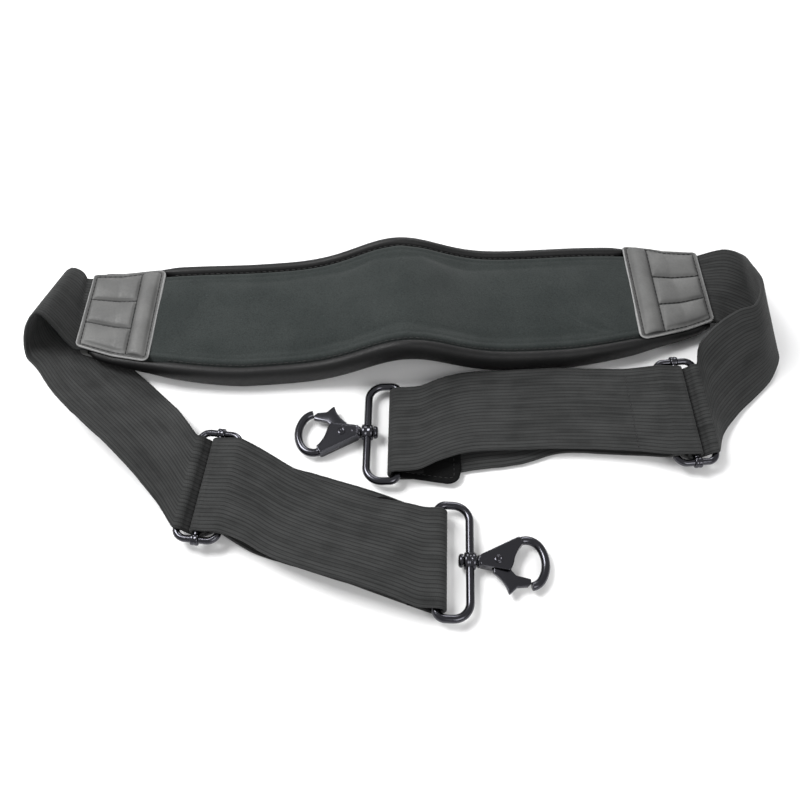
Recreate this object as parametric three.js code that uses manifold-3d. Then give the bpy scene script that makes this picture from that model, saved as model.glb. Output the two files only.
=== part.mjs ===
// A padded saxophone neck strap lying loosely folded on a table.
// A contoured neoprene pad carries an elastic webbing at each end. Each webbing runs over a
// sliding buckle, doubles back through a wide ring and is sewn to the buckle's centre bar.
// A swivel snap hook with a sprung gate turns in the boss of each ring.
// Millimetres, +Z up. The finished group stands on z = 0 with the origin below its middle.
import * as THREE from 'three';
import { mergeVertices } from 'three/addons/utils/BufferGeometryUtils.js';
import Module from 'manifold-3d';

const wasm = await Module();
wasm.setup();

// ---------------------------------------------------------------- driving dimensions
const clearance = 0.3; // between pieces that lie against each other

const webbingWidth = 50;
const webbingThickness = 1.6;
const rowSpacing = 7; // length of webbing between two rulings of its mesh

const padLength = 350;
const padHalfWidth = webbingWidth / 2 + 11; // of the panels, mid pad
const padThickness = 13;
const panelThickness = 1.8;
const edgeBandThickness = 2.6;
const padTurn = Math.atan(0.07);
const padMiddle = { x: 1, y: 52.5 };
const humpHeight = 16.5;
const humpReach = 32.7;
const taperLength = 90;
const endOffset = 7.5; // the webbing leaves this far behind the pad's centre line
const tongueLength = 21; // webbing sewn in between the panels
const tongueOutside = 2; // and held straight this far outside them
const patchLength = 42;
const patchThickness = 0.9;
const patchMargin = 1.2; // the patch stops this far inside the panels' long edges
const endLift = { left: 11.5, right: 3.6 };

const barDiameter = 3.5; // slider wire
const sliderCornerRadius = 5;
const sliderSidePlay = 1.7; // beside the webbing, at each end
const sleeveDiameter = 6.4;
const sleeveLength = 5;
const barGap = 0.75; // left between two fully lapped bars of the slider

const ringWire = 4;
const ringReach = 16; // between the middles of the ring's two long bars
const ringSidePlay = 1.3;
const ringBackCorner = 4;
const ringFrontCorner = 7.4;
const ringTilt = THREE.MathUtils.degToRad(2.4);
const bossDiameter = 8.4;
const bossLength = 6;
const tabThickness = 1;
const tabReach = 32; // of the wear tab's lower leg, from the ring's bar
const tabUpperReach = 13;

const swivelDiameter = 3.2;
const swivelHeadDiameter = 6.6;
const swivelHeadHeight = 2.2;
const swivelDepth = 5; // of the swivel rivet in the hook's collar
const collarDiameter = 6.2;
const hookLength = 38; // from the ring's bar to the end of the claw
const hookPlateHeight = 6.4;
const cheekThickness = 1.7;
const clawWire = 4.2;
const clawReach = 8.6; // from the eye's middle to the claw's centre line, along the hook
const clawRise = 11.6; // and across it
const pivotReach = 13.3; // from the ring's bar to the gate's pin
const pinDiameter = 2.4;
const springWire = 0.4; // its turns lie close together round the pin

const padStep = 8.5; // length of pad between two sections of its mesh
const tubeSides = 8;
const roundSides = 20;

// ---------------------------------------------------------------- worked-out sizes
const halfWebbing = webbingWidth / 2;
const barRadius = barDiameter / 2;
const lap = barRadius + clearance + webbingThickness / 2; // webbing's middle over a bar
const nest = lap + webbingThickness + clearance; // a second layer outside the first
const barPitch = 2 * nest + barGap; // between two neighbouring bars of the slider
const sliderHalfLength = halfWebbing + sliderSidePlay + barRadius;
const ringHalfLength = halfWebbing + ringSidePlay + ringWire / 2;
const tabLap = ringWire / 2 + clearance + tabThickness / 2;
const ringLap = tabLap + tabThickness / 2 + clearance + webbingThickness / 2;
const ringBarHeight = ringLap + webbingThickness / 2 + 0.1; // above the table
const endThickness = 2 * panelThickness + webbingThickness + 2 * clearance;
const gateThickness = hookPlateHeight - 2 * cheekThickness - 2 * clearance;

// ---------------------------------------------------------------- materials
const paint = (color, roughness, metalness = 0) =>
  new THREE.MeshStandardMaterial({ color, roughness, metalness });
const neoprene = paint(0x2b302f, 0.9);
const edging = paint(0x151616, 0.85);
const foam = paint(0x3a3a38, 0.95);
const leatherette = paint(0x6a6a69, 0.55);
const elastic = paint(0x2a2b2b, 0.88);
const tabCloth = paint(0x0e0e0f, 0.9);
const blackNickel = paint(0x232326, 0.25, 0.9);
const springSteel = paint(0x8a8c90, 0.35, 0.9);

// ---------------------------------------------------------------- shaping helpers
function bend(geometry, place) {
  const position = geometry.getAttribute('position');
  for (let i = 0; i < position.count; i++) {
    const at = place(position.getX(i), position.getY(i), position.getZ(i));
    position.setXYZ(i, at.x, at.y, at.z);
  }
  geometry.computeVertexNormals();
  return geometry;
}

function toSolid(geometry) {
  const bare = geometry.clone();
  bare.deleteAttribute('normal');
  bare.deleteAttribute('uv');
  const merged = mergeVertices(bare, 1e-4);
  return new wasm.Manifold(
    new wasm.Mesh({
      numProp: 3,
      vertProperties: new Float32Array(merged.getAttribute('position').array),
      triVerts: new Uint32Array(merged.index.array),
    }),
  );
}

function toGeometry(solid) {
  const mesh = solid.getMesh();
  const geometry = new THREE.BufferGeometry();
  geometry.setAttribute('position', new THREE.BufferAttribute(mesh.vertProperties, 3));
  geometry.setIndex(new THREE.BufferAttribute(mesh.triVerts, 1));
  geometry.computeVertexNormals();
  return geometry;
}

const join = (...shapes) =>
  toGeometry(shapes.slice(1).reduce((all, next) => all.add(toSolid(next)), toSolid(shapes[0])));

const cut = (shape, ...tools) =>
  toGeometry(tools.reduce((left, tool) => left.subtract(toSolid(tool)), toSolid(shape)));

function rodX(diameter, from, to) {
  return new THREE.CylinderGeometry(diameter / 2, diameter / 2, to - from, roundSides)
    .rotateZ(-Math.PI / 2)
    .translate((from + to) / 2, 0, 0);
}

function rodZ(diameter, height, x, y) {
  return new THREE.CylinderGeometry(diameter / 2, diameter / 2, height, roundSides)
    .rotateX(Math.PI / 2)
    .translate(x, y, 0);
}

function slab(outline, height) {
  return new THREE.ExtrudeGeometry(outline, {
    depth: height, bevelEnabled: false, curveSegments: 8,
  }).translate(0, 0, -height / 2);
}

function arcPoints(x, z, radius, fromDegrees, toDegrees, stepDegrees) {
  const steps = Math.round(Math.abs(toDegrees - fromDegrees) / stepDegrees);
  return Array.from({ length: steps + 1 }, (_, i) => {
    const angle = THREE.MathUtils.degToRad(
      fromDegrees + ((toDegrees - fromDegrees) * i) / steps,
    );
    return [x + radius * Math.cos(angle), z + radius * Math.sin(angle)];
  });
}

// A wire loop in the XY plane: x from 0 to reach, y to both sides, a corner radius at each end.
function wireLoop(reach, halfLength, backRadius, frontRadius, wire, steps) {
  const loop = new THREE.CurvePath();
  const corners = [
    [0, -1, backRadius], [reach, -1, frontRadius], [reach, 1, frontRadius], [0, 1, backRadius],
  ];
  const at = (x, y) => new THREE.Vector3(x, y, 0);
  const bends = corners.map(([x, side, radius]) => {
    const inward = x === 0 ? 1 : -1;
    const alongBar = at(x, side * (halfLength - radius));
    const alongEnd = at(x + inward * radius, side * halfLength);
    const corner = at(x, side * halfLength);
    const forward = (x === 0) === (side < 0);
    return forward ? [alongBar, corner, alongEnd] : [alongEnd, corner, alongBar];
  });
  bends.forEach((bendPoints, i) => {
    const previous = bends[(i + bends.length - 1) % bends.length];
    loop.add(new THREE.LineCurve3(previous[2], bendPoints[0]));
    loop.add(new THREE.QuadraticBezierCurve3(...bendPoints));
  });
  return new THREE.TubeGeometry(loop, steps, wire / 2, tubeSides, true);
}

// ---------------------------------------------------------------- the pad's own space
// u runs along the pad, v across it and w up from the underside panel.
const endward = (u) =>
  Math.max(0, (Math.abs(u) - padLength / 2 + taperLength) / taperLength);
const nearEdge = (u) =>
  -padHalfWidth + (padHalfWidth - halfWebbing + endOffset) * endward(u) ** 1.6;
const farEdge = (u) =>
  padHalfWidth - (padHalfWidth - halfWebbing - endOffset) * endward(u) ** 3;
const thicknessAt = (u) =>
  padThickness - (padThickness - endThickness) * Math.min(1, (1.25 * endward(u)) ** 2);
const liftAt = (u) =>
  (u < 0 ? endLift.left : endLift.right) * endward(u) ** 1.5 +
  humpHeight * Math.exp(-((u / humpReach) ** 2));

function padPoint(u, v, w) {
  const x = padMiddle.x + u * Math.cos(padTurn) - v * Math.sin(padTurn);
  const y = padMiddle.y + u * Math.sin(padTurn) + v * Math.cos(padTurn);
  return new THREE.Vector3(x, y, liftAt(u) + w + 0.1);
}

// Every layer of the pad has its sections at the same places, so that the gaps stay even.
function evenly(from, to, step) {
  const steps = Math.round((to - from) / step);
  return Array.from({ length: steps + 1 }, (_, i) => from + ((to - from) * i) / steps);
}
const patchStart = padLength / 2 - patchLength;
const padSections = [
  ...evenly(-padLength / 2, -patchStart, patchLength / 6),
  ...evenly(-patchStart, patchStart, padStep).slice(1, -1),
  ...evenly(patchStart, padLength / 2, patchLength / 6),
];
const sectionsBetween = (from, to) => [
  from, ...padSections.filter((u) => u > from + 0.01 && u < to - 0.01), to,
];

// A layer between two heights, over the pad's outline shrunk by `inset`.
function padLayer(from, to, inset, bottomAt, topAt) {
  const sections = sectionsBetween(from, to);
  const steps = sections.length - 1;
  const box = new THREE.BoxGeometry(steps, 1, 1, steps, 1, 1).translate(steps / 2, 0.5, 0.5);
  return bend(box, (along, across, up) => {
    const u = sections[Math.round(along)];
    const v = THREE.MathUtils.lerp(nearEdge(u) + inset, farEdge(u) - inset, across);
    return padPoint(u, v, THREE.MathUtils.lerp(bottomAt(u), topAt(u), up));
  });
}

function padEdgeBand(side) {
  const reach = padLength / 2 - tongueLength / 2;
  const sections = sectionsBetween(-reach, reach);
  const steps = sections.length - 1;
  const box = new THREE.BoxGeometry(steps, 1, 1, steps, 1, 2).translate(steps / 2, 0, 0.5);
  return bend(box, (along, across, up) => {
    const u = sections[Math.round(along)];
    const edge = side < 0 ? nearEdge(u) : farEdge(u);
    const belly = 1 + 0.35 * Math.sin(Math.PI * up);
    const outward = clearance + edgeBandThickness * (0.5 + side * across) * belly;
    return padPoint(u, edge + side * outward, up * thicknessAt(u));
  });
}

function padPieces() {
  const end = padLength / 2;
  const coreEnd = end - tongueLength - 2 * clearance;
  const low = () => 0;
  const high = thicknessAt;
  const pieces = {
    pad_foam_core: [
      padLayer(-coreEnd, coreEnd, 1, () => panelThickness + clearance,
        (u) => high(u) - panelThickness - clearance),
      foam,
    ],
    pad_top_panel: [
      padLayer(-end, end, 0, (u) => high(u) - panelThickness, high), neoprene,
    ],
    pad_underside_panel: [padLayer(-end, end, 0, low, () => panelThickness), edging],
    pad_front_edge_band: [padEdgeBand(-1), edging],
    pad_back_edge_band: [padEdgeBand(1), edging],
  };
  for (const [name, sign] of [['left', -1], ['right', 1]]) {
    const [from, to] = sign < 0 ? [-end, -patchStart] : [patchStart, end];
    pieces[`${name}_end_patch_top`] = [
      padLayer(from, to, patchMargin, (u) => high(u) + clearance,
        (u) => high(u) + clearance + patchThickness),
      leatherette,
    ];
    pieces[`${name}_end_patch_bottom`] = [
      padLayer(from, to, patchMargin, () => -clearance - patchThickness,
        () => -clearance),
      leatherette,
    ];
  }
  return pieces;
}

// ---------------------------------------------------------------- places on the table
// Each side of the strap has its own places, given for a pad of 350 and a webbing of 50.
// A longer pad carries its sides outwards, and a wider webbing moves them clear of each other.
// A ruling is a line across the webbing, from its edge nearer the wearer's front to the other.
const padGrowth = (padLength - 350) / 2;
const webbingGrowth = webbingWidth - 50;
// A thicker ring or webbing lifts the strip that lies over the ring's bar.
const ringGrowth =
  ringBarHeight + ringLap + webbingThickness / 2 - 10.5 + 0.06 * Math.abs(webbingGrowth);
const carried = (x, y, z, side, share) =>
  new THREE.Vector3(x, y, z).add(new THREE.Vector3(
    -side * padGrowth * Math.cos(padTurn),
    -side * padGrowth * Math.sin(padTurn) - share * webbingGrowth * (side > 0 ? 2 : 1),
    0,
  ));

const seat = (x, y, z, azimuth, roll, side) => {
  const turn = THREE.MathUtils.degToRad(azimuth);
  const up = THREE.MathUtils.degToRad(roll);
  const across = new THREE.Vector3(
    Math.cos(up) * Math.cos(turn), Math.cos(up) * Math.sin(turn), Math.sin(up),
  ).multiplyScalar(side);
  const heading = new THREE.Vector3(Math.sin(turn), -Math.cos(turn), 0).multiplyScalar(side);
  const normal = heading.clone().cross(across);
  return new THREE.Matrix4()
    .makeBasis(heading, across, normal)
    .setPosition(carried(x, y, z, side, 1));
};

const sides = {
  left: {
    side: 1,
    tabSkew: -11, // its loose ends lie this far towards the nearer edge
    slider: seat(-94, -55.5, 8.6, 83, 3, 1),
    ring: seat(17, -93, ringBarHeight, 88, 0, 1),
    fromPad: [
      [[-178, 24.5, 20.5], [-178.8, 73.5, 17]],
      [[-182, 27.5, 29.5], [-181.5, 75, 19]],
      [[-187.5, 28, 39], [-185, 75, 21]],
      [[-192.5, 23.5, 36], [-190, 71, 18]],
      [[-195.5, 18.5, 28], [-192, 64, 11]],
      [[-194, 12, 24], [-185.5, 56, 6]],
      [[-188, 5.5, 23], [-176, 48, 2.4]],
      [[-176, -9.5, 23], [-159, 30, 1]],
      [[-158, -26.5, 23], [-138.5, 11.5, 1]],
      [[-143, -39.5, 21], [-129.5, 2.5, 2]],
      [[-129, -53, 17], [-120, -7, 5]],
      [[-117, -66, 12.5], [-111.5, -18, 11.5]],
    ],
    lowerLayer: [
      [[-70, -88, 1.2], [-62, -39, 1.2]],
      [[-46, -96, 1], [-38, -47, 1]],
      [[-22, -104, 1], [-14, -55, 1]],
      [[-2, -111.5, 1], [4, -62, 1]],
    ],
    upperLayer: [
      [[8, -118, 10.5], [12, -67.5, 9.6]],
      [[-2, -114.5, 13.5], [4, -65.5, 8.5]],
      [[-22, -108, 15.5], [-14.5, -60.5, 4.8]],
      [[-42, -101.5, 14.5], [-33.5, -54, 4.8]],
      [[-62, -93.5, 12], [-53, -45, 6]],
      [[-74, -87, 13.5], [-66, -38, 9.5]],
    ],
  },
  right: {
    side: -1,
    tabSkew: 4.5,
    slider: seat(147.5, -13.5, 10.4, 95, 8, -1),
    ring: seat(-0.8, -23.3, ringBarHeight, 89, 0, -1),
    fromPad: [
      [[187, 48, 2], [187, 91, 16]],
      [[199.5, 42, 1], [192, 80, 24.5]],
      [[206.5, 36, 1], [190.5, 65, 35]],
      [[209, 28, 1], [188.5, 44, 44]],
      [[202.5, 14, 1], [182, 30, 43]],
      [[190.5, 2, 1], [176, 31, 36]],
      [[178, -9, 2], [166.5, 26, 31]],
      [[166, -24, 5], [157, 17, 25.5]],
    ],
    lowerLayer: [
      [[125, -35, 1.2], [122.5, 15, 2]],
      [[106, -34, 1], [107, 16, 1]],
      [[82, -33.5, 1], [83, 16.5, 1]],
      [[62, -39.5, 1], [63, 10, 1]],
      [[36, -43.5, 1], [37, 6.5, 1]],
      [[14, -47.5, 1], [15, 2, 1]],
    ],
    upperLayer: [
      [[9, -47, 9.6], [10, 2.5, 9.4]],
      [[20, -41.5, 9], [20, 8, 7.8]],
      [[35, -36, 7.4], [34, 13.5, 6]],
      [[58, -34, 6.2], [59.5, 15, 5.4]],
      [[83.5, -33, 5.8], [86, 16.3, 6]],
      [[104, -34, 6.6], [106, 15.5, 6.6]],
      [[121, -36, 8], [120, 14, 9]],
    ],
  },
};

// ---------------------------------------------------------------- webbing
function rulingAt(place, side, x, z, skew = 0) {
  const near = new THREE.Vector3(x, -side * halfWebbing - side * skew, z);
  const far = new THREE.Vector3(x, side * halfWebbing - side * skew, z);
  return [near.applyMatrix4(place), far.applyMatrix4(place)];
}

function rowsThrough(rulings) {
  const near = new THREE.CatmullRomCurve3(rulings.map((ruling) => ruling[0]));
  const far = new THREE.CatmullRomCurve3(rulings.map((ruling) => ruling[1]));
  const last = rulings.length - 1;
  const middleOf = ([a, b]) => a.clone().add(b).multiplyScalar(0.5);
  const rows = [];
  const addRow = (t) => {
    const ruling = [near.getPoint(t), far.getPoint(t)];
    const across = ruling[1].clone().sub(ruling[0]).normalize();
    rows.push({ middle: middleOf(ruling), across });
  };
  for (let i = 0; i < last; i++) {
    const run = middleOf(rulings[i]).distanceTo(middleOf(rulings[i + 1]));
    const steps = Math.max(1, Math.round(run / rowSpacing));
    for (let k = 0; k < steps; k++) addRow((i + k / steps) / last);
  }
  addRow(1);
  rows.forEach((row, i) => {
    const ahead = rows[Math.min(i + 1, rows.length - 1)].middle;
    const behind = rows[Math.max(i - 1, 0)].middle;
    row.normal = ahead.clone().sub(behind).cross(row.across).normalize();
  });
  return rows;
}

function ribbon(rulings, width, thickness) {
  const rows = rowsThrough(rulings);
  const steps = rows.length - 1;
  const strip = new THREE.BoxGeometry(steps, width, thickness, steps, 2, 1);
  return bend(strip, (x, y, z) => {
    const row = rows[Math.round(x + steps / 2)];
    return row.middle.clone().addScaledVector(row.across, y).addScaledVector(row.normal, z);
  });
}

function tongueRulings(sign) {
  const middle = (nearEdge(padLength / 2) + farEdge(padLength / 2)) / 2;
  const held = [...evenly(-tongueLength, 0, patchLength / 6), tongueOutside];
  return held.map((outside) => {
    const u = sign * (padLength / 2 + outside);
    const w = thicknessAt(u) / 2;
    return [padPoint(u, middle - halfWebbing, w), padPoint(u, middle + halfWebbing, w)];
  });
}

// Over the slider's first bar, under its centre bar and over its last bar.
const threadedPass = [
  ...arcPoints(-barPitch, 0, lap + 0.1, 105, 15, 30),
  ...arcPoints(0, 0, nest + 0.1, 215, 325, 27.5),
  ...arcPoints(barPitch, 0, lap + 0.1, 165, 15, 30),
];
// Back over the last bar and round the centre bar, where the end is sewn down.
const sewnPass = [
  ...arcPoints(barPitch, 0, nest + 0.1, 75, 105, 15),
  ...arcPoints(0, 0, lap, 75, 330, 25.5),
  [barPitch * 0.42, lap * 0.32],
];
const ringFold = arcPoints(0, 0, ringLap, -90, 90, 20);

function webbing(name) {
  const { side, slider, ring, fromPad, lowerLayer, upperLayer } = sides[name];
  const free = (list, shareAt = () => 1) =>
    list.map((ruling, i) => ruling.map((p) => carried(...p, side, shareAt(i))));
  const overRing = (list) => list.map((ruling, i) => {
    const rise = ringGrowth * Math.min(1, 1.6 * (1 - i / (list.length - 1)));
    return ruling.map(([x, y, z]) => [x, y, z + rise]);
  });
  const rulings = [
    ...tongueRulings(-side),
    ...free(fromPad, (i) => i / (fromPad.length - 1)),
    ...threadedPass.map(([x, z]) => rulingAt(slider, side, x, z)),
    ...free(lowerLayer),
    ...ringFold.map(([x, z]) => rulingAt(ring, side, x, z)),
    ...free(overRing(upperLayer)),
    ...sewnPass.map(([x, z]) => rulingAt(slider, side, x, z)),
  ];
  return ribbon(rulings, webbingWidth, webbingThickness);
}

function wearTab(name) {
  const { side, ring, tabSkew } = sides[name];
  const skewAt = (x) => (tabSkew * Math.max(0, -x)) / tabReach;
  const path = [
    [-tabReach, -tabLap], [-tabReach / 2, -tabLap],
    ...arcPoints(0, 0, tabLap, -90, 90, 30),
    [-tabUpperReach, tabLap - 0.8],
  ];
  return ribbon(
    path.map(([x, z]) => rulingAt(ring, side, x, z, skewAt(x))),
    webbingWidth - 1,
    tabThickness,
  );
}

// ---------------------------------------------------------------- slider
function sliderFrame() {
  return wireLoop(
    2 * barPitch, sliderHalfLength, sliderCornerRadius, sliderCornerRadius, barDiameter, 56,
  ).translate(-barPitch, 0, 0);
}

function sliderCentreBar() {
  const bar = new THREE.CylinderGeometry(barRadius, barRadius, 2 * sliderHalfLength, 12);
  const ends = [-1, 1].map((end) =>
    rodX(sleeveDiameter, -sleeveLength / 2, sleeveLength / 2).translate(
      0, end * sliderHalfLength, 0,
    ),
  );
  const bores = [-1, 1].map((end) =>
    rodX(barDiameter + 2 * clearance, -sleeveLength, sleeveLength).translate(
      0, end * sliderHalfLength, 0,
    ),
  );
  return cut(join(bar, ...ends), ...bores);
}

// ---------------------------------------------------------------- ring and swivel
function ring() {
  const loop = wireLoop(
    ringReach, ringHalfLength, ringBackCorner, ringFrontCorner, ringWire, 60,
  );
  const boss = rodX(bossDiameter, ringReach - bossLength / 2, ringReach + bossLength / 2);
  const bore = rodX(swivelDiameter + 2 * clearance, 0.5 * ringReach, 1.5 * ringReach);
  return cut(join(loop, boss), bore);
}

// From here x is measured along the hook from the ring's front bar.
const headStart = -bossLength / 2 - clearance - swivelHeadHeight;
const collarStart = bossLength / 2 + clearance;

function swivelRivet() {
  const profile = [
    [0, headStart],
    [swivelHeadDiameter / 2 - 0.8, headStart],
    [swivelHeadDiameter / 2, headStart + 0.8],
    [swivelHeadDiameter / 2, headStart + swivelHeadHeight],
    [swivelDiameter / 2, headStart + swivelHeadHeight],
    [swivelDiameter / 2, collarStart + swivelDepth],
    [0, collarStart + swivelDepth],
  ].map(([radius, x]) => new THREE.Vector2(radius, x));
  return new THREE.LatheGeometry(profile, roundSides).rotateZ(-Math.PI / 2);
}

// ---------------------------------------------------------------- snap hook
const eye = { x: hookLength - clawReach - clawWire / 2, y: 0.3 };
const pivot = { x: pivotReach, y: 0.7 };
const gateTip = { x: eye.x + 0.6, y: eye.y - clawRise + 1.8 };

function clawTube() {
  const points = arcPoints(0, 0, 1, 116, -62, 17.8)
    .map(([x, y]) => new THREE.Vector3(eye.x + clawReach * x, eye.y + clawRise * y, 0));
  const root = new THREE.Vector3(pivot.x + 2, 7.2, 0);
  const path = new THREE.CatmullRomCurve3([root, ...points]);
  const section = new THREE.Shape().absarc(0, 0, clawWire / 2, 0, 2 * Math.PI);
  return new THREE.ExtrudeGeometry(section, {
    extrudePath: path, steps: 16, curveSegments: tubeSides / 2 + 1, bevelEnabled: false,
  });
}

function hookPlate() {
  const outline = new THREE.Shape();
  outline.moveTo(collarStart + 0.5, -collarDiameter / 2);
  outline.lineTo(pivot.x + 5.4, -4.8);
  outline.quadraticCurveTo(pivot.x + 7.4, -2, pivot.x + 7.8, 1);
  outline.quadraticCurveTo(pivot.x + 9, 6, eye.x - 1.6, eye.y + clawRise - 2.4);
  outline.lineTo(eye.x - 3.4, eye.y + clawRise + clawWire / 2 - 0.9);
  outline.lineTo(collarStart + 0.5, collarDiameter / 2);
  outline.closePath();
  return slab(outline, hookPlateHeight);
}

function hookBody() {
  const collar = rodX(collarDiameter, collarStart, collarStart + 3);
  const slotHeight = gateThickness + 2 * clearance;
  const slotStart = collarStart + swivelDepth + 2.2;
  const slotLength = pivot.x + 12 - slotStart;
  const slot = new THREE.BoxGeometry(slotLength, 12, slotHeight)
    .translate(slotStart + slotLength / 2, -2.4, 0);
  const swivelBore = rodX(
    swivelDiameter + 2 * clearance, 0, collarStart + swivelDepth + clearance,
  );
  const pinHole = rodZ(pinDiameter + 2 * clearance, 2 * hookPlateHeight, pivot.x, pivot.y);
  const plate = cut(join(hookPlate(), collar), slot, swivelBore, pinHole);
  return join(plate, clawTube());
}

function gate() {
  const blade = new THREE.Shape();
  blade.moveTo(pivot.x - 2.4, pivot.y - 0.6);
  blade.quadraticCurveTo(pivot.x - 1.6, pivot.y + 2.6, pivot.x + 1.2, pivot.y + 2.4);
  blade.quadraticCurveTo(pivot.x + 5, -3, gateTip.x - 6.6, gateTip.y + 3.2);
  blade.lineTo(gateTip.x, gateTip.y + 1.7);
  blade.lineTo(gateTip.x, gateTip.y - 0.4);
  blade.lineTo(gateTip.x - 1.6, gateTip.y - 2);
  blade.lineTo(pivot.x + 8.6, -12);
  blade.lineTo(pivot.x + 4.8, -15.6);
  blade.quadraticCurveTo(pivot.x + 3, -9, pivot.x - 2.2, -5.6);
  blade.closePath();
  const hole = rodZ(pinDiameter + 2 * clearance, 2 * hookPlateHeight, pivot.x, pivot.y);
  // one face is cut back round the pin to make room for the spring
  const springSeat = rodZ(7, gateThickness, pivot.x, pivot.y).translate(
    0, 0, gateThickness * 0.5,
  );
  return cut(slab(blade, gateThickness), hole, springSeat);
}

// The pin is peened flush, so that the hook can lie flat on either cheek.
function gatePin() {
  const half = hookPlateHeight / 2 - 0.05;
  const profile = [
    [0, -half], [pinDiameter / 2 - 0.2, -half], [pinDiameter / 2, -half + 0.2],
    [pinDiameter / 2, half - 0.2], [pinDiameter / 2 - 0.2, half], [0, half],
  ].map(([radius, z]) => new THREE.Vector2(radius, z));
  return new THREE.LatheGeometry(profile, roundSides)
    .rotateX(Math.PI / 2)
    .translate(pivot.x, pivot.y, 0);
}

// The spring's close turns as one ribbed sleeve round the pin.
function gateSpring() {
  const inner = pinDiameter / 2 + clearance;
  const bottom = clearance;
  const room = gateThickness / 2 - clearance;
  const turns = Math.floor(room / springWire);
  const ribs = Array.from({ length: turns }, (_, i) => [
    [inner + springWire * 0.6, bottom + springWire * i],
    [inner + springWire, bottom + springWire * (i + 0.5)],
  ]).flat();
  const top = bottom + springWire * turns;
  const profile = [
    [inner, bottom], ...ribs, [inner + springWire * 0.6, top], [inner, top], [inner, bottom],
  ].map(([radius, z]) => new THREE.Vector2(radius, z));
  return new THREE.LatheGeometry(profile, roundSides)
    .rotateX(Math.PI / 2)
    .translate(pivot.x, pivot.y, 0);
}

// ---------------------------------------------------------------- assembly
function piece(parent, name, geometry, material) {
  const mesh = new THREE.Mesh(geometry, material);
  mesh.name = name;
  parent.add(mesh);
}

function placedGroup(parent, matrix) {
  const group = new THREE.Group();
  matrix.decompose(group.position, group.quaternion, group.scale);
  parent.add(group);
  return group;
}

const strap = new THREE.Group();
for (const [name, [geometry, material]] of Object.entries(padPieces())) {
  piece(strap, name, geometry, material);
}
for (const name of Object.keys(sides)) {
  piece(strap, `${name}_webbing`, webbing(name), elastic);
  piece(strap, `${name}_ring_wear_tab`, wearTab(name), tabCloth);

  const slider = placedGroup(strap, sides[name].slider);
  piece(slider, `${name}_slider_frame`, sliderFrame(), blackNickel);
  piece(slider, `${name}_slider_centre_bar`, sliderCentreBar(), blackNickel);

  const ringSeat = placedGroup(strap, sides[name].ring);
  ringSeat.rotateY(ringTilt);
  piece(ringSeat, `${name}_ring`, ring(), blackNickel);

  const hook = placedGroup(ringSeat, new THREE.Matrix4().setPosition(ringReach, 0, 0));
  piece(hook, `${name}_swivel_rivet`, swivelRivet(), blackNickel);
  piece(hook, `${name}_hook_body`, hookBody(), blackNickel);
  piece(hook, `${name}_gate`, gate(), blackNickel);
  piece(hook, `${name}_gate_pin`, gatePin(), blackNickel);
  piece(hook, `${name}_gate_spring`, gateSpring(), springSteel);
}

strap.updateMatrixWorld(true);
const outer = new THREE.Box3().setFromObject(strap, true);
const middle = outer.getCenter(new THREE.Vector3());
strap.position.set(-middle.x, -middle.y, -outer.min.z);

export default strap;
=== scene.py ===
"""Looks of a padded saxophone neck strap that lies loosely folded on a pale floor.

The strap is laid out in bench millimetres, and every piece is carried into the model's
frame, in metres, as it is made.
"""

import logging
import math
from dataclasses import dataclass
from enum import Enum
from typing import Callable, Sequence

import bpy
import numpy as np
from mathutils import Matrix, Vector, noise
from mathutils.bvhtree import BVHTree


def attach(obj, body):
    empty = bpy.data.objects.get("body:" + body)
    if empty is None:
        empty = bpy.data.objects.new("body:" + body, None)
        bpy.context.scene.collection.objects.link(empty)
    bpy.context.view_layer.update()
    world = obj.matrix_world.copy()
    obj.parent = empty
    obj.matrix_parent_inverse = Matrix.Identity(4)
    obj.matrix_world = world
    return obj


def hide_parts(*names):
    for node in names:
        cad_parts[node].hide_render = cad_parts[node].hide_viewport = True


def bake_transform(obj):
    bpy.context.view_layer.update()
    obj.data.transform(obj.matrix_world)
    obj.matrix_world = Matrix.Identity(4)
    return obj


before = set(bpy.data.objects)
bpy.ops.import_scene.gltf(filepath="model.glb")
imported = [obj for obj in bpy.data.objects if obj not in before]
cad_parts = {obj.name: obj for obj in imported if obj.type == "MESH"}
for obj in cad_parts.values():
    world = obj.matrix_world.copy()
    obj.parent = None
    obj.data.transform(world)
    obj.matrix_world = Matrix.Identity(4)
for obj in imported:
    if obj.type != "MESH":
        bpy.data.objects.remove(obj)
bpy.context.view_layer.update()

log = logging.getLogger("neck_strap")

MM = 0.001
BENCH_SHIFT = np.array([-6.657547, 11.085443, 0.538871])
WEBBING_WIDTH = 50.0
RING_TILT = math.radians(2.4)
LATHE_STEPS = 32
WIRE_SIDES = 22
PATCH_WIDTH = 58.0
GROOVE_REACH = 128.0
ROLL_END = 169.5
SWELL_FRAMES = 20

Ruling = tuple[Vector, Vector]
Pair = tuple[float, float]
Object = bpy.types.Object
Socket = bpy.types.NodeSocket


class Side(Enum):
    """One of the strap's two sides, and the way its webbing faces."""

    LEFT = 1
    RIGHT = -1

    @property
    def label(self) -> str:
        """The side's name as the model's nodes and bodies spell it."""
        return self.name.lower()


# ---------------------------------------------------------------- meshes


def in_frame(points: np.ndarray) -> np.ndarray:
    """Bench millimetres as metres in the model's frame."""
    return (np.asarray(points, float) + BENCH_SHIFT) * MM


def ease(low: float, high: float, value: np.ndarray) -> np.ndarray:
    """A smooth step from 0 at low to 1 at high."""
    t = np.clip((np.asarray(value, float) - low) / (high - low), 0.0, 1.0)
    return t * t * (3 - 2 * t)


def ridge(value: np.ndarray, middle: float, reach: float) -> np.ndarray:
    """A smooth bump of height 1 about middle."""
    return np.exp(-(((value - middle) / reach) ** 2))


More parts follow.
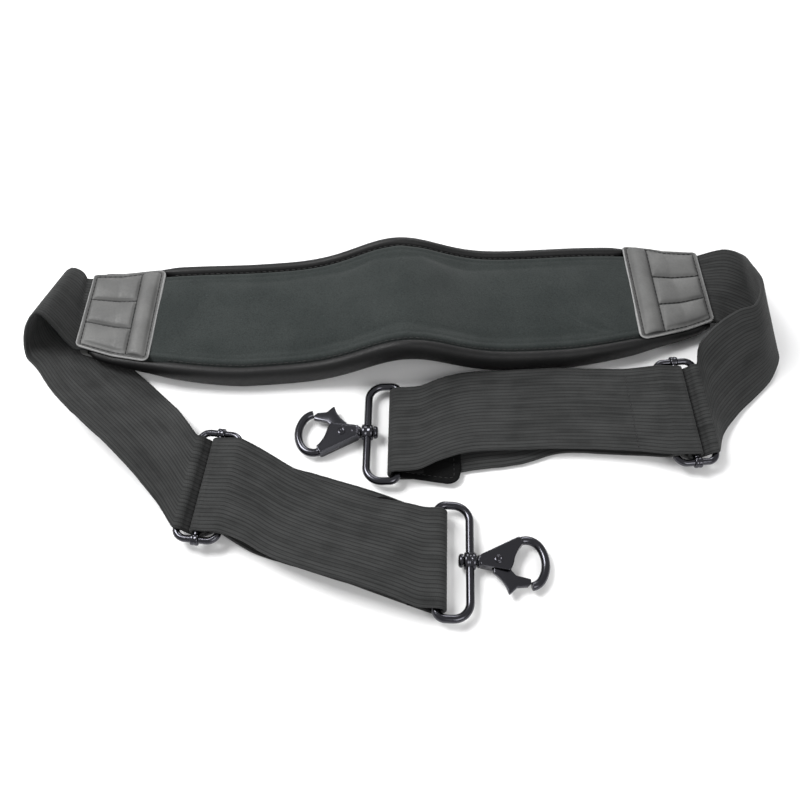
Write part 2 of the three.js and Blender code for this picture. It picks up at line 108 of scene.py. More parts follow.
def bulge(value: np.ndarray, low: float, high: float, fullness: float = 0.5) -> np.ndarray:
    """A pillow's height between two seams: 1 in the middle and 0 at and beyond the seams."""
    half = (high - low) / 2
    return np.clip(1 - ((value - low - half) / half) ** 2, 0, 1) ** fullness


def new_object(name: str, data: bpy.types.ID) -> Object:
    """Put a mesh, a lamp or a camera into the scene."""
    thing = bpy.data.objects.new(name, data)
    bpy.context.scene.collection.objects.link(thing)
    return thing


def make_object(
    name: str,
    points: np.ndarray,
    faces: np.ndarray,
    uv: np.ndarray | None = None,
    marks: dict[str, np.ndarray] | None = None,
) -> Object:
    """Make a smooth-shaded object with its faces outward.

    Args:
        name: the piece's name.
        points: its vertices in bench millimetres.
        faces: rows of vertex numbers, all of one length.
        uv: one place on the cloth for each vertex, in metres.
        marks: named values for each vertex, which its finish reads.

    Returns:
        The object, at the origin, with its place in its mesh.
    """
    corner = [points[faces[:, k]] for k in range(faces.shape[1])]
    volume = sum(
        np.einsum("ij,ij->i", corner[0], np.cross(corner[k], corner[k + 1])).sum()
        for k in range(1, faces.shape[1] - 1)
    )
    if volume < 0:
        faces = faces[:, ::-1]
    mesh = bpy.data.meshes.new(name)
    mesh.from_pydata(in_frame(points).tolist(), [], faces.tolist())
    mesh.shade_smooth()
    if uv is not None:
        layer = mesh.uv_layers.new(name="cloth")
        users = np.empty(len(mesh.loops), dtype=np.int32)
        mesh.loops.foreach_get("vertex_index", users)
        layer.data.foreach_set("uv", uv[users].astype(np.float32).ravel())
    for label, values in (marks or {}).items():
        attribute = mesh.attributes.new(label, "FLOAT", "POINT")
        attribute.data.foreach_set("value", values.astype(np.float32).ravel())
    mesh.update()
    return new_object(name, mesh)


def layered_solid(
    name: str,
    top: np.ndarray,
    bottom: np.ndarray,
    uv: np.ndarray,
    marks: dict[str, np.ndarray] | None = None,
) -> Object:
    """Close a solid between two grids of the same shape.

    Args:
        name: the piece's name.
        top: upper surface, rows by columns by 3, in bench millimetres.
        bottom: lower surface, in the same order.
        uv: place on the cloth for each grid point, in metres.
        marks: values on the upper surface, which are 0 on the lower one.

    Returns:
        The closed object.
    """
    rows, columns = top.shape[:2]
    count = rows * columns
    index = np.arange(count).reshape(rows, columns)
    quads = np.stack(
        [index[:-1, :-1], index[1:, :-1], index[1:, 1:], index[:-1, 1:]], -1
    ).reshape(-1, 4)
    rim = np.concatenate(
        [index[0, :-1], index[:-1, -1], index[-1, :0:-1], index[:0:-1, 0]]
    )
    ahead = np.roll(rim, -1)
    walls = np.stack([rim, ahead, ahead + count, rim + count], -1)
    faces = np.concatenate([quads, (quads + count)[:, ::-1], walls])
    points = np.concatenate([top.reshape(-1, 3), bottom.reshape(-1, 3)])
    both = {
        label: np.concatenate([values.ravel(), np.zeros(count)])
        for label, values in (marks or {}).items()
    }
    flat = uv.reshape(-1, 2)
    return make_object(name, points, faces, np.concatenate([flat, flat]), both)


def rounded_end(distance: np.ndarray, radius: float) -> np.ndarray:
    """How far a rounded corner cuts in from the side, at a distance from the end."""
    short = np.clip(radius - distance, 0, radius)
    return radius - np.sqrt(radius * radius - short * short)


def rounded_edge(distance: np.ndarray, radius: float, least: float) -> np.ndarray:
    """Share of a cloth's full thickness at a distance from its rounded edge."""
    return np.sqrt(np.clip(1 - (1 - np.minimum(distance / radius, 1)) ** 2, least, 1))


# ---------------------------------------------------------------- work with operators


def clear_selection() -> None:
    """Leave edit mode and deselect everything."""
    if bpy.context.object is not None and bpy.context.object.mode != "OBJECT":
        bpy.ops.object.mode_set(mode="OBJECT")
    bpy.ops.object.select_all(action="DESELECT")


def take(piece: Object) -> None:
    """Select one object alone and make it active."""
    clear_selection()
    piece.select_set(True)
    bpy.context.view_layer.objects.active = piece


def apply_place(piece: Object | None = None) -> None:
    """Put an object's place, turn and size into its mesh. None stands for the active one."""
    if piece is not None:
        take(piece)
    bpy.ops.object.transform_apply(location=True, rotation=True, scale=True)


def edit(piece: Object, action: str = "SELECT") -> None:
    """Open one object in edit mode, with everything selected or nothing."""
    take(piece)
    bpy.ops.object.mode_set(mode="EDIT")
    bpy.ops.mesh.select_all(action=action)


def leave_edit(merge: float = 0.0) -> None:
    """Merge points nearer than a distance in metres, turn faces outward and leave edit mode."""
    bpy.ops.mesh.select_all(action="SELECT")
    if merge:
        bpy.ops.mesh.remove_doubles(threshold=merge)
    bpy.ops.mesh.normals_make_consistent(inside=False)
    bpy.ops.object.mode_set(mode="OBJECT")


def apply_modifier(piece: Object, kind: str, **settings: object) -> None:
    """Add a modifier, set it up and apply it.

    Args:
        piece: the object that it shapes.
        kind: the modifier's type.
        settings: its values by name.
    """
    take(piece)
    modifier = piece.modifiers.new(kind.lower(), kind)
    for key, value in settings.items():
        setattr(modifier, key, value)
    bpy.ops.object.modifier_apply(modifier=modifier.name)


def join_all(name: str, pieces: Sequence[Object]) -> Object:
    """Join pieces of one casting or one bent wire into a single object."""
    clear_selection()
    for piece in pieces:
        piece.select_set(True)
    bpy.context.view_layer.objects.active = pieces[0]
    bpy.ops.object.join()
    pieces[0].name = name
    return pieces[0]


def settle(piece: Object, seat: Matrix) -> Object:
    """Carry a piece made at the origin to its seat, and put its place in its mesh."""
    take(piece)
    seat_in_metres = Matrix.Translation(Vector(in_frame(seat.translation)))
    piece.matrix_world = seat_in_metres @ seat.to_3x3().to_4x4()
    apply_place()
    return piece


def smooth_over(piece: Object, degrees: float) -> None:
    """Shade smooth wherever two faces meet at less than an angle."""
    take(piece)
    bpy.ops.object.shade_smooth_by_angle(angle=math.radians(degrees))


class BentWire:
    """A round wire bent in the XY plane: a circle that is extruded and spun."""

    def __init__(
        self, name: str, diameter: float, start: Pair, heading: float
    ) -> None:
        """Set the wire's first section.

        Args:
            name: the piece's name.
            diameter: of the wire, in millimetres.
            start: the middle of the first section, in millimetres.
            heading: the way the wire leaves it, in degrees from +X.
        """
        clear_selection()
        bpy.ops.mesh.primitive_circle_add(
            vertices=WIRE_SIDES,
            radius=diameter / 2 * MM,
            fill_type="NOTHING",
            location=(start[0] * MM, start[1] * MM, 0),
            rotation=(math.pi / 2, 0, math.radians(heading - 90)),
        )
        self.piece = bpy.context.object
        self.piece.name = name
        apply_place()
        bpy.ops.object.mode_set(mode="EDIT")
        bpy.ops.mesh.select_all(action="SELECT")

    def run(self, dx: float, dy: float) -> "BentWire":
        """Draw the wire straight on by millimetres."""
        bpy.ops.mesh.extrude_region_move(
            TRANSFORM_OT_translate={"value": (dx * MM, dy * MM, 0)}
        )
        return self

    def turn(self, x: float, y: float, degrees: float, steps: int) -> "BentWire":
        """Bend the wire clockwise about a centre.

        Args:
            x: of the centre, in millimetres.
            y: of the centre, in millimetres.
            degrees: how far it is bent.
            steps: sections that the bend takes.

        Returns:
            The wire itself.
        """
        bpy.ops.mesh.spin(
            steps=steps,
            angle=math.radians(degrees),
            center=(x * MM, y * MM, 0),
            axis=(0, 0, 1),
        )
        return self

    def cap(self) -> "BentWire":
        """Close the section that was drawn last."""
        bpy.ops.mesh.edge_face_add()
        return self

    def done(self) -> Object:
        """Merge, close and turn the wire's faces outward.

        Returns:
            The wire's object.
        """
        leave_edit(merge=0.00001)
        bpy.ops.object.shade_smooth()
        return self.piece


def wire_loop(
    name: str, diameter: float, back: float, front: float, half: float,
    back_radius: float, front_radius: float,
) -> Object:
    """Bend a closed wire with four rounded corners.

    Args:
        name: the piece's name.
        diameter: of the wire.
        back: x of its back bar.
        front: x of its front bar.
        half: y of its end bars, to both sides.
        back_radius: of its two back corners.
        front_radius: of its two front corners.

    Returns:
        The wire's object, about the origin.
    """
    flat = front - back - back_radius - front_radius
    wire = BentWire(name, diameter, (back, back_radius - half), 90)
    wire.run(0, 2 * (half - back_radius))
    wire.turn(back + back_radius, half - back_radius, 90, 10)
    wire.run(flat, 0)
    wire.turn(front - front_radius, half - front_radius, 90, 12)
    wire.run(0, -2 * (half - front_radius))
    wire.turn(front - front_radius, front_radius - half, 90, 12)
    wire.run(-flat, 0)
    wire.turn(back + back_radius, back_radius - half, 90, 10)
    return wire.done()


def turned(name: str, profile: Sequence[Pair], along_x: bool) -> Object:
    """Turn a profile into a round piece, as on a lathe.

    Args:
        name: the piece's name.
        profile: distances along the axis and radii, in millimetres, from axis to axis.
        along_x: whether the axis is X, and otherwise Z.

    Returns:
        The closed round object.
    """
    line = bpy.data.meshes.new(name)
    if along_x:
        points = [(at * MM, radius * MM, 0) for at, radius in profile]
    else:
        points = [(radius * MM, 0, at * MM) for at, radius in profile]
    line.from_pydata(points, [(i, i + 1) for i in range(len(points) - 1)], [])
    piece = new_object(name, line)
    edit(piece)
    axis = (1, 0, 0) if along_x else (0, 0, 1)
    bpy.ops.mesh.spin(steps=LATHE_STEPS, angle=2 * math.pi, center=(0, 0, 0), axis=axis)
    leave_edit(merge=0.000005)
    smooth_over(piece, 40)
    return piece


def curve_through(*knots: Pair) -> list[Pair]:
    """Points on a curve from the first knot to the last, drawn towards the middle one."""
    (x0, y0), (x1, y1), (x2, y2) = knots
    steps = [k / 7 for k in range(1, 8)]
    return [
        (
            (1 - t) ** 2 * x0 + 2 * t * (1 - t) * x1 + t * t * x2,
            (1 - t) ** 2 * y0 + 2 * t * (1 - t) * y1 + t * t * y2,
        )
        for t in steps
    ]


def plate(name: str, outline: Sequence[Pair], height: float) -> Object:
    """Extrude a flat outline into a plate about the XY plane.

    Args:
        name: the piece's name.
        outline: its corners, in millimetres.
        height: of the plate.

    Returns:
        The plate, with sharp edges.
    """
    mesh = bpy.data.meshes.new(name)
    low = [(x * MM, y * MM, -height / 2 * MM) for x, y in outline]
    mesh.from_pydata(low, [], [tuple(range(len(low)))])
    piece = new_object(name, mesh)
    edit(piece)
    bpy.ops.mesh.extrude_region_move(TRANSFORM_OT_translate={"value": (0, 0, height * MM)})
    leave_edit()
    return piece


# ---------------------------------------------------------------- finishes


class NodeDesk:
    """Places and wires the nodes of one tree."""

    def __init__(self, tree: bpy.types.NodeTree) -> None:
        """Start on a tree, empty or not."""
        self.tree = tree

    def add(self, kind: str, **settings: object) -> bpy.types.Node:
        """Place a node and set its options by name."""
        node = self.tree.nodes.new(kind)
        for key, value in settings.items():
            setattr(node, key, value)
        return node

    def wire(self, source: object, target: Socket) -> None:
        """Feed a socket or a plain value into a socket."""
        if isinstance(source, Socket):
            self.tree.links.new(source, target)
        else:
            target.default_value = source

    def math(self, operation: str, *terms: object) -> Socket:
        """Work out one step of arithmetic on sockets and plain values."""
        node = self.add("ShaderNodeMath", operation=operation)
        for k, term in enumerate(terms):
            self.wire(term, node.inputs[k])
        return node.outputs[0]

    def noise(self, place: object, scale: object, detail: float = 3.0) -> Socket:
        """A cloudy value from 0 to 1 over a place."""
        node = self.add("ShaderNodeTexNoise")
        self.wire(place, node.inputs["Vector"])
        self.wire(scale, node.inputs["Scale"])
        node.inputs["Detail"].default_value = detail
        return node.outputs["Fac"]

    def between(
        self, value: object, low: float, high: float, to_low: float = 0.0, to_high: float = 1.0
    ) -> Socket:
        """Carry a value smoothly from one range to another."""
        node = self.add("ShaderNodeMapRange", interpolation_type="SMOOTHSTEP")
        for k, term in enumerate((value, low, high, to_low, to_high)):
            self.wire(term, node.inputs[k])
        return node.outputs[0]

    def blend(self, share: object, first: object, second: object) -> Socket:
        """Mix two colours by a share."""
        node = self.add("ShaderNodeMix", data_type="RGBA")
        self.wire(share, node.inputs["Factor"])
        for term, target in ((first, node.inputs[6]), (second, node.inputs[7])):
            self.wire((*term, 1.0) if isinstance(term, tuple) else term, target)
        return node.outputs[2]

    def bump(self, height: object, reach: float, strength: float) -> Socket:
        """A normal from a height, where a height of 1 stands for a reach in metres."""
        node = self.add("ShaderNodeBump")
        node.inputs["Strength"].default_value = strength
        node.inputs["Distance"].default_value = reach
        self.wire(height, node.inputs["Height"])
        return node.outputs["Normal"]

    def group(self, tree: bpy.types.NodeTree, **inputs: object) -> bpy.types.Node:
        """Place a shared effect with its own values."""
        node = self.add("ShaderNodeGroup", node_tree=tree)
        for key, value in inputs.items():
            self.wire(value, node.inputs[key])
        return node


def shared_effect(
    name: str,
    inputs: dict[str, str],
    outputs: Sequence[str],
    build: Callable[[NodeDesk, bpy.types.Node, bpy.types.Node], None],
) -> bpy.types.NodeTree:
    """Find a shared effect, or build it the first time it is asked for.

    Args:
        name: of the effect.
        inputs: its input sockets, each with its type.
        outputs: its output values.
        build: wires the effect between its input and output nodes.

    Returns:
        The effect's node group.
    """
    known = bpy.data.node_groups.get(name)
    if known is not None:
        return known
    tree = bpy.data.node_groups.new(name, "ShaderNodeTree")
    for label, kind in inputs.items():
        tree.interface.new_socket(label, in_out="INPUT", socket_type=kind)
    for label in outputs:
        tree.interface.new_socket(label, in_out="OUTPUT", socket_type="NodeSocketFloat")
    desk = NodeDesk(tree)
    build(desk, desk.add("NodeGroupInput"), desk.add("NodeGroupOutput"))
    return tree


def mottling() -> bpy.types.NodeTree:
    """Soft uneven shade with fine specks, as on any used surface."""

    def build(desk: NodeDesk, start: bpy.types.Node, end: bpy.types.Node) -> None:
        """Wire two sizes of cloud."""
        place, scale = start.outputs["Place"], start.outputs["Scale"]
        clouds = desk.noise(place, scale, 5.0)
        specks = desk.noise(place, desk.math("MULTIPLY", scale, 14.0), 2.0)
        desk.wire(desk.between(clouds, 0.32, 0.68), end.inputs["Clouds"])
        desk.wire(desk.between(specks, 0.3, 0.7), end.inputs["Specks"])

    sockets = {"Place": "NodeSocketVector", "Scale": "NodeSocketFloat"}
    return shared_effect("mottling", sockets, ("Clouds", "Specks"), build)


def woven_ribs() -> bpy.types.NodeTree:
    """Lengthwise ribs crossed by fine picks, on a cloth map in metres."""

    def build(desk: NodeDesk, start: bpy.types.Node, end: bpy.types.Node) -> None:
        """Wire ribs and picks from the two directions of the cloth."""
        split = desk.add("ShaderNodeSeparateXYZ")
        desk.wire(start.outputs["Cloth"], split.inputs[0])
        across, along = split.outputs[0], split.outputs[1]
        turn = desk.math("MULTIPLY", desk.math("DIVIDE", across, start.outputs["Pitch"]), math.pi)
        rib = desk.math("ABSOLUTE", desk.math("COSINE", turn))
        side = desk.math("SIGN", desk.math("COSINE", turn))
        step = desk.math("MULTIPLY", desk.math("DIVIDE", along, start.outputs["Pick"]), math.pi)
        phase = desk.math("ADD", step, desk.math("MULTIPLY", side, math.pi / 4))
        pick = desk.math("ABSOLUTE", desk.math("SINE", phase))
        thread = desk.math("MULTIPLY", desk.math("POWER", rib, 0.6), 0.65)
        desk.wire(desk.math("ADD", thread, desk.math("MULTIPLY", pick, 0.35)), end.inputs["Height"])
        desk.wire(desk.between(rib, 0.05, 0.6), end.inputs["Rib"])

    sockets = {
        "Cloth": "NodeSocketVector", "Pitch": "NodeSocketFloat", "Pick": "NodeSocketFloat",
    }
    return shared_effect("woven_ribs", sockets, ("Height", "Rib"), build)


def pebble_grain() -> bpy.types.NodeTree:
    """Small rounded pebbles of unequal size, as on coated leather or knitted rubber."""

    def build(desk: NodeDesk, start: bpy.types.Node, end: bpy.types.Node) -> None:
        """Wire rounded cells with a little noise on them."""
        cells = desk.add("ShaderNodeTexVoronoi", feature="SMOOTH_F1")
        desk.wire(start.outputs["Place"], cells.inputs["Vector"])
        desk.wire(start.outputs["Scale"], cells.inputs["Scale"])
        cells.inputs["Smoothness"].default_value = 0.6
        fine = desk.math("MULTIPLY", start.outputs["Scale"], 2.3)
        fuzz = desk.noise(start.outputs["Place"], fine, 2.0)
        dome = desk.math("SUBTRACT", 1.0, cells.outputs["Distance"])
        desk.wire(
            desk.math("ADD", desk.math("MULTIPLY", dome, 0.75),
                      desk.math("MULTIPLY", fuzz, 0.25)),
            end.inputs["Height"],
        )

    sockets = {"Place": "NodeSocketVector", "Scale": "NodeSocketFloat"}
    return shared_effect("pebble_grain", sockets, ("Height",), build)


Colour = tuple[float, float, float]


@dataclass(frozen=True)
class Finish:
    """A surface that every piece of one material shares."""

    name: str
    tone: Colour
    second_tone: Colour
    roughness: float

    def start(self) -> tuple[bpy.types.Material, NodeDesk, bpy.types.Node]:
        """Make the material with its shader and no pattern yet.

        Returns:
            The material, its desk and its shader node.
        """
        material = bpy.data.materials.new(self.name)
        material.use_nodes = True
        material.node_tree.nodes.clear()
        desk = NodeDesk(material.node_tree)
        shader = desk.add("ShaderNodeBsdfPrincipled")
        output = desk.add("ShaderNodeOutputMaterial")
        desk.wire(shader.outputs[0], output.inputs[0])
        return material, desk, shader

    def place(self, desk: NodeDesk) -> Socket:
        """Object coordinates, in metres."""
        return desk.add("ShaderNodeTexCoord").outputs["Object"]

    def make(self) -> bpy.types.Material:
        """Make the whole material, or find it if it is made."""
        known = bpy.data.materials.get(self.name)
        return known if known is not None else self.compose()

    def compose(self) -> bpy.types.Material:
        """Wire the material's pattern. Each kind of finish has its own."""
        raise NotImplementedError


@dataclass(frozen=True)
class KnitFaced(Finish):
    """Rubber foam faced with a fine knitted cloth."""

    knit: float = 1500.0
    depth: float = 0.00012
    sheen: float = 0.12
    gloss: float = 0.18

    def compose(self) -> bpy.types.Material:
        """Wire a knitted face that is a little uneven and dusty, with painted shade in the pits of its
        grain.
        """
        material, desk, shader = self.start()
        place = self.place(desk)
        uneven = desk.group(mottling(), Place=place, Scale=38.0)
        grain = desk.group(pebble_grain(), Place=place, Scale=self.knit)
        tone = desk.blend(uneven.outputs["Clouds"], self.tone, self.second_tone)
        lint = desk.between(desk.noise(place, 900.0, 1.0), 0.70, 0.78, 0.0, 0.35)
        worn = tuple(min(1.0, 2.2 * c) for c in self.second_tone)
        tone = desk.blend(lint, tone, worn)
        # Painted shade: the base colour is darkened where the knit's grain is low, in its pits.
        pit_shade = desk.between(grain.outputs["Height"], 0.25, 0.7, 0.72, 1.0)
        shade = desk.add("ShaderNodeMix", data_type="RGBA", blend_type="MULTIPLY")
        shade.inputs["Factor"].default_value = 1.0
        desk.wire(tone, shade.inputs[6])
        desk.wire(pit_shade, shade.inputs[7])
        desk.wire(shade.outputs[2], shader.inputs["Base Color"])
        desk.wire(
            desk.between(uneven.outputs["Specks"], 0.0, 1.0, self.roughness - 0.06, self.roughness),
            shader.inputs["Roughness"],
        )
        desk.wire(desk.bump(grain.outputs["Height"], self.depth, 0.8), shader.inputs["Normal"])
        shader.inputs["Specular IOR Level"].default_value = self.gloss
        shader.inputs["Sheen Weight"].default_value = self.sheen
        shader.inputs["Sheen Roughness"].default_value = 0.5
        return material


@dataclass(frozen=True)
class Leatherette(Finish):
    """Coated cloth with a fine grain, a pale cut edge, dark sewn lines and painted shade in the gutter
    inside the edge.
    """

    edge_tone: Colour = (0.25, 0.25, 0.25)
    seam_tone: Colour = (0.008, 0.008, 0.008)
    grain: float = 1100.0

    def compose(self) -> bpy.types.Material:
        """Wire grain and creases, then lay the edge, the seams and the painted shade of the gutter over
        them.
        """
        material, desk, shader = self.start()
        place = self.place(desk)
        uneven = desk.group(mottling(), Place=place, Scale=60.0)
        grain = desk.group(pebble_grain(), Place=place, Scale=self.grain)
        rim = desk.add("ShaderNodeAttribute", attribute_name="rim").outputs["Fac"]
        # This mark darkens the sewn lines and also paints shade into the gutter inside the cut edge.
        seam = desk.add("ShaderNodeAttribute", attribute_name="seam").outputs["Fac"]
        ragged = desk.math(
            "ADD", rim, desk.math("MULTIPLY", desk.math("SUBTRACT", uneven.outputs["Specks"], 0.5), 0.3)
        )
        tone = desk.blend(uneven.outputs["Clouds"], self.tone, self.second_tone)
        tone = desk.blend(desk.between(ragged, 0.45, 0.75), tone, self.edge_tone)
        tone = desk.blend(desk.between(seam, 0.35, 0.9), tone, self.seam_tone)
        desk.wire(tone, shader.inputs["Base Color"])
        desk.wire(
            desk.between(uneven.outputs["Specks"], 0.0, 1.0, self.roughness - 0.05,
                         self.roughness + 0.08),
            shader.inputs["Roughness"],
        )
        creases = desk.math("MULTIPLY", desk.noise(place, 240.0, 6.0), 0.8)
        height = desk.math("ADD", grain.outputs["Height"], creases)
        desk.wire(desk.bump(height, 0.00009, 0.55), shader.inputs["Normal"])
        return material


@dataclass(frozen=True)
class RibbedElastic(Finish):
    """Elastic webbing: covered rubber cores side by side, bound by fine picks."""

    pitch: float = 0.002
    pick: float = 0.0007
    fuzz: float = 0.07
    gloss: float = 0.15

    def compose(self) -> bpy.types.Material:
        """Wire the ribs, the picks between them and the lint they gather."""
        material, desk, shader = self.start()
        cloth = desk.add("ShaderNodeUVMap", uv_map="cloth").outputs["UV"]
        weave = desk.group(woven_ribs(), Cloth=cloth, Pitch=self.pitch, Pick=self.pick)
        uneven = desk.group(mottling(), Place=self.place(desk), Scale=70.0)
        stretch = desk.add("ShaderNodeMapping")
        stretch.inputs["Scale"].default_value = (500.0, 22.0, 1.0)
        desk.wire(cloth, stretch.inputs["Vector"])
        streaks = desk.between(desk.noise(stretch.outputs[0], 1.0, 2.0), 0.3, 0.7)
        tone = desk.blend(streaks, self.tone, self.second_tone)
        tone = desk.blend(
            desk.math("MULTIPLY", uneven.outputs["Clouds"], 0.35), tone,
            tuple(1.5 * c for c in self.second_tone),
        )
        dark = tuple(0.45 * c for c in self.tone)
        rib_shade = desk.between(weave.outputs["Rib"], 0.0, 1.0, 0.75, 0.0)
        tone = desk.blend(rib_shade, tone, dark)
        desk.wire(tone, shader.inputs["Base Color"])
        desk.wire(
            desk.between(uneven.outputs["Specks"], 0.0, 1.0, self.roughness - 0.08, self.roughness),
            shader.inputs["Roughness"],
        )
        height = desk.math(
            "ADD", weave.outputs["Height"], desk.math("MULTIPLY", uneven.outputs["Specks"], 0.15)
        )
        desk.wire(desk.bump(height, 0.00018, 0.85), shader.inputs["Normal"])
        shader.inputs["Specular IOR Level"].default_value = self.gloss
        shader.inputs["Sheen Weight"].default_value = self.fuzz
        shader.inputs["Sheen Roughness"].default_value = 0.45
        return material


@dataclass(frozen=True)
class TwistedThread(Finish):
    """Sewing thread with its twist."""

    def compose(self) -> bpy.types.Material:
        """Wire a slanting twist over an uneven tone."""
        material, desk, shader = self.start()
        place = self.place(desk)
        bands = desk.add("ShaderNodeTexWave", bands_direction="DIAGONAL")
        desk.wire(place, bands.inputs["Vector"])
        bands.inputs["Scale"].default_value = 900.0
        tone = desk.blend(bands.outputs["Fac"], self.tone, self.second_tone)
        desk.wire(tone, shader.inputs["Base Color"])
        desk.wire(desk.bump(bands.outputs["Fac"], 0.00008, 0.7), shader.inputs["Normal"])
        desk.wire(
            desk.between(desk.noise(place, 700.0), 0.3, 0.7, self.roughness - 0.1, self.roughness),
            shader.inputs["Roughness"],
        )
        return material


@dataclass(frozen=True)
class PlatedMetal(Finish):
    """Cast or drawn metal under a plated coat."""

    cast: float = 0.14
    coat: float = 0.35

    def compose(self) -> bpy.types.Material:
        """Wire a plated skin with handling marks and a faint cast surface."""
        material, desk, shader = self.start()
        place = self.place(desk)
        uneven = desk.group(mottling(), Place=place, Scale=190.0)
        rubbed = desk.between(desk.noise(place, 420.0, 5.0), 0.56, 0.74)
        tone = desk.blend(rubbed, self.tone, self.second_tone)
        desk.wire(tone, shader.inputs["Base Color"])
        shader.inputs["Metallic"].default_value = 1.0
        smear = desk.between(uneven.outputs["Clouds"], 0.0, 1.0, self.roughness - 0.05,
                             self.roughness + 0.09)
        desk.wire(smear, shader.inputs["Roughness"])
        skin = desk.math(
            "ADD", uneven.outputs["Clouds"], desk.math("MULTIPLY", uneven.outputs["Specks"], 0.25)
        )
        desk.wire(desk.bump(skin, 0.00012, self.cast), shader.inputs["Normal"])
        shader.inputs["Coat Weight"].default_value = self.coat
        shader.inputs["Coat Roughness"].default_value = 0.06
        return material


@dataclass(frozen=True)
class PaleFloor(Finish):
    """A plain pale table."""

    def compose(self) -> bpy.types.Material:
        """Wire a barely uneven matt surface."""
        material, desk, shader = self.start()
        clouds = desk.between(desk.noise(self.place(desk), 3.0), 0.3, 0.7)
        desk.wire(desk.blend(clouds, self.tone, self.second_tone), shader.inputs["Base Color"])
        shader.inputs["Roughness"].default_value = self.roughness
        return material


NEOPRENE = KnitFaced("neoprene_knit", (0.019, 0.0235, 0.0228), (0.026, 0.031, 0.030), 0.92)
EDGING = KnitFaced(
    "edge_binding", (0.0035, 0.0035, 0.0038), (0.007, 0.007, 0.0072), 0.58, knit=2100.0,
    sheen=0.0, gloss=0.3,
)
FOAM = KnitFaced("foam_rubber", (0.05, 0.05, 0.048), (0.06, 0.06, 0.058), 0.95, knit=700.0)
PATCH = Leatherette("grey_leatherette", (0.078, 0.078, 0.077), (0.104, 0.104, 0.102), 0.60)
ELASTIC = RibbedElastic("ribbed_elastic", (0.018, 0.0186, 0.0186), (0.033, 0.0337, 0.0337), 0.85)
TAB = RibbedElastic(
    "black_tab_cloth", (0.003, 0.003, 0.0032), (0.005, 0.005, 0.0052), 0.85, 0.0009, 0.0009, 0.0,
    0.08,
)
THREAD = TwistedThread("black_thread", (0.004, 0.004, 0.004), (0.012, 0.012, 0.012), 0.7)
BLACK_NICKEL = PlatedMetal("black_nickel", (0.009, 0.0092, 0.0092), (0.021, 0.0214, 0.0214), 0.16)
STEEL = PlatedMetal("spring_steel", (0.45, 0.45, 0.47), (0.6, 0.6, 0.62), 0.3, 0.1, 0.0)
FLOOR = PaleFloor("pale_floor", (0.88, 0.88, 0.885), (0.90, 0.90, 0.90), 0.9)


def finish_piece(
    piece: Object, finish: Finish, slot: str, body: str | None, *nodes: str
) -> Object:
    """Dress a piece, tie it to its body and let it stand for its model nodes.

    Args:
        piece: the finished mesh.
        finish: of its whole surface.
        slot: a material slot's name; not used.
        body: that it rides on, or None for a piece that is tied to no body.
        nodes: model nodes that it replaces.

    Returns:
        The piece.
    """
    piece.data.materials.clear()
    piece.data.materials.append(finish.make())
    if body is not None:
        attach(piece, body)
    if nodes:
        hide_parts(*nodes)
    log.info("%s: %d faces on %s", piece.name, len(piece.data.polygons), body or "two bodies")
    return piece


def dress_padded(piece: Object, finish: Finish, slot: str, node: str) -> None:
    """Dress a stuffed piece of the strap's own body."""
    finish_piece(piece, finish, slot, "strap", node)


# ---------------------------------------------------------------- sewing


def stitch_shape() -> tuple[np.ndarray, np.ndarray]:
    """Model one stitch: a little ball drawn out to a pinched thread.

    Returns:
        Its vertices, for a stitch of half-length 1 along X, and its faces.
    """
    clear_selection()
    bpy.ops.mesh.primitive_uv_sphere_add(
        segments=6, ring_count=5, radius=1.0, rotation=(0, math.pi / 2, 0)
    )
    ball = bpy.context.object
    apply_place()
    apply_modifier(ball, "TRIANGULATE")
    points = np.array([v.co[:] for v in ball.data.vertices])
    faces = np.array([f.vertices[:] for f in ball.data.polygons])
    points[:, 0] = np.sign(points[:, 0]) * np.abs(points[:, 0]) ** 0.7
    bpy.data.objects.remove(ball, do_unlink=True)
    return points, faces


def straight_up(count: int) -> np.ndarray:
    """The upward direction, once for each of a number of points."""
    return np.tile((0.0, 0.0, 1.0), (count, 1))


def sew(
    name: str, lines: Sequence[tuple[np.ndarray, np.ndarray]], length: float, gap: float,
    thickness: float,
) -> Object:
    """Lay stitches along lines.

    Args:
        name: the piece's name.
        lines: for each line its points and its upward directions, in bench millimetres.
        length: of a stitch.
        gap: between two stitches.
        thickness: of the thread.

    Returns:
        All the stitches as one object.
    """
    shape, faces = stitch_shape()
    points, all_faces = [], []
    for path, ups in lines:
        steps = np.linalg.norm(np.diff(path, axis=0), axis=1)
        at = np.concatenate([[0], np.cumsum(steps)])
        for start in np.arange(gap / 2, at[-1] - length, length + gap):
            ends = [
                np.array([np.interp(s, at, path[:, k]) for k in range(3)])
                for s in (start, start + length)
            ]
            up = np.array([np.interp(start + length / 2, at, ups[:, k]) for k in range(3)])
            along = ends[1] - ends[0]
            along /= np.linalg.norm(along)
            aside = np.cross(up, along)
            aside /= np.linalg.norm(aside)
            up = np.cross(along, aside)
            local = shape * (length / 2, thickness / 2, thickness / 2)
            local[:, 2] -= 0.25 * thickness * (shape[:, 0] ** 2)
            middle = (ends[0] + ends[1]) / 2
            all_faces.append(faces + sum(len(p) for p in points))
            points.append(
                middle + local[:, :1] * along + local[:, 1:2] * aside + local[:, 2:] * up
            )
    return make_object(name, np.concatenate(points), np.concatenate(all_faces))


# ---------------------------------------------------------------- the pad


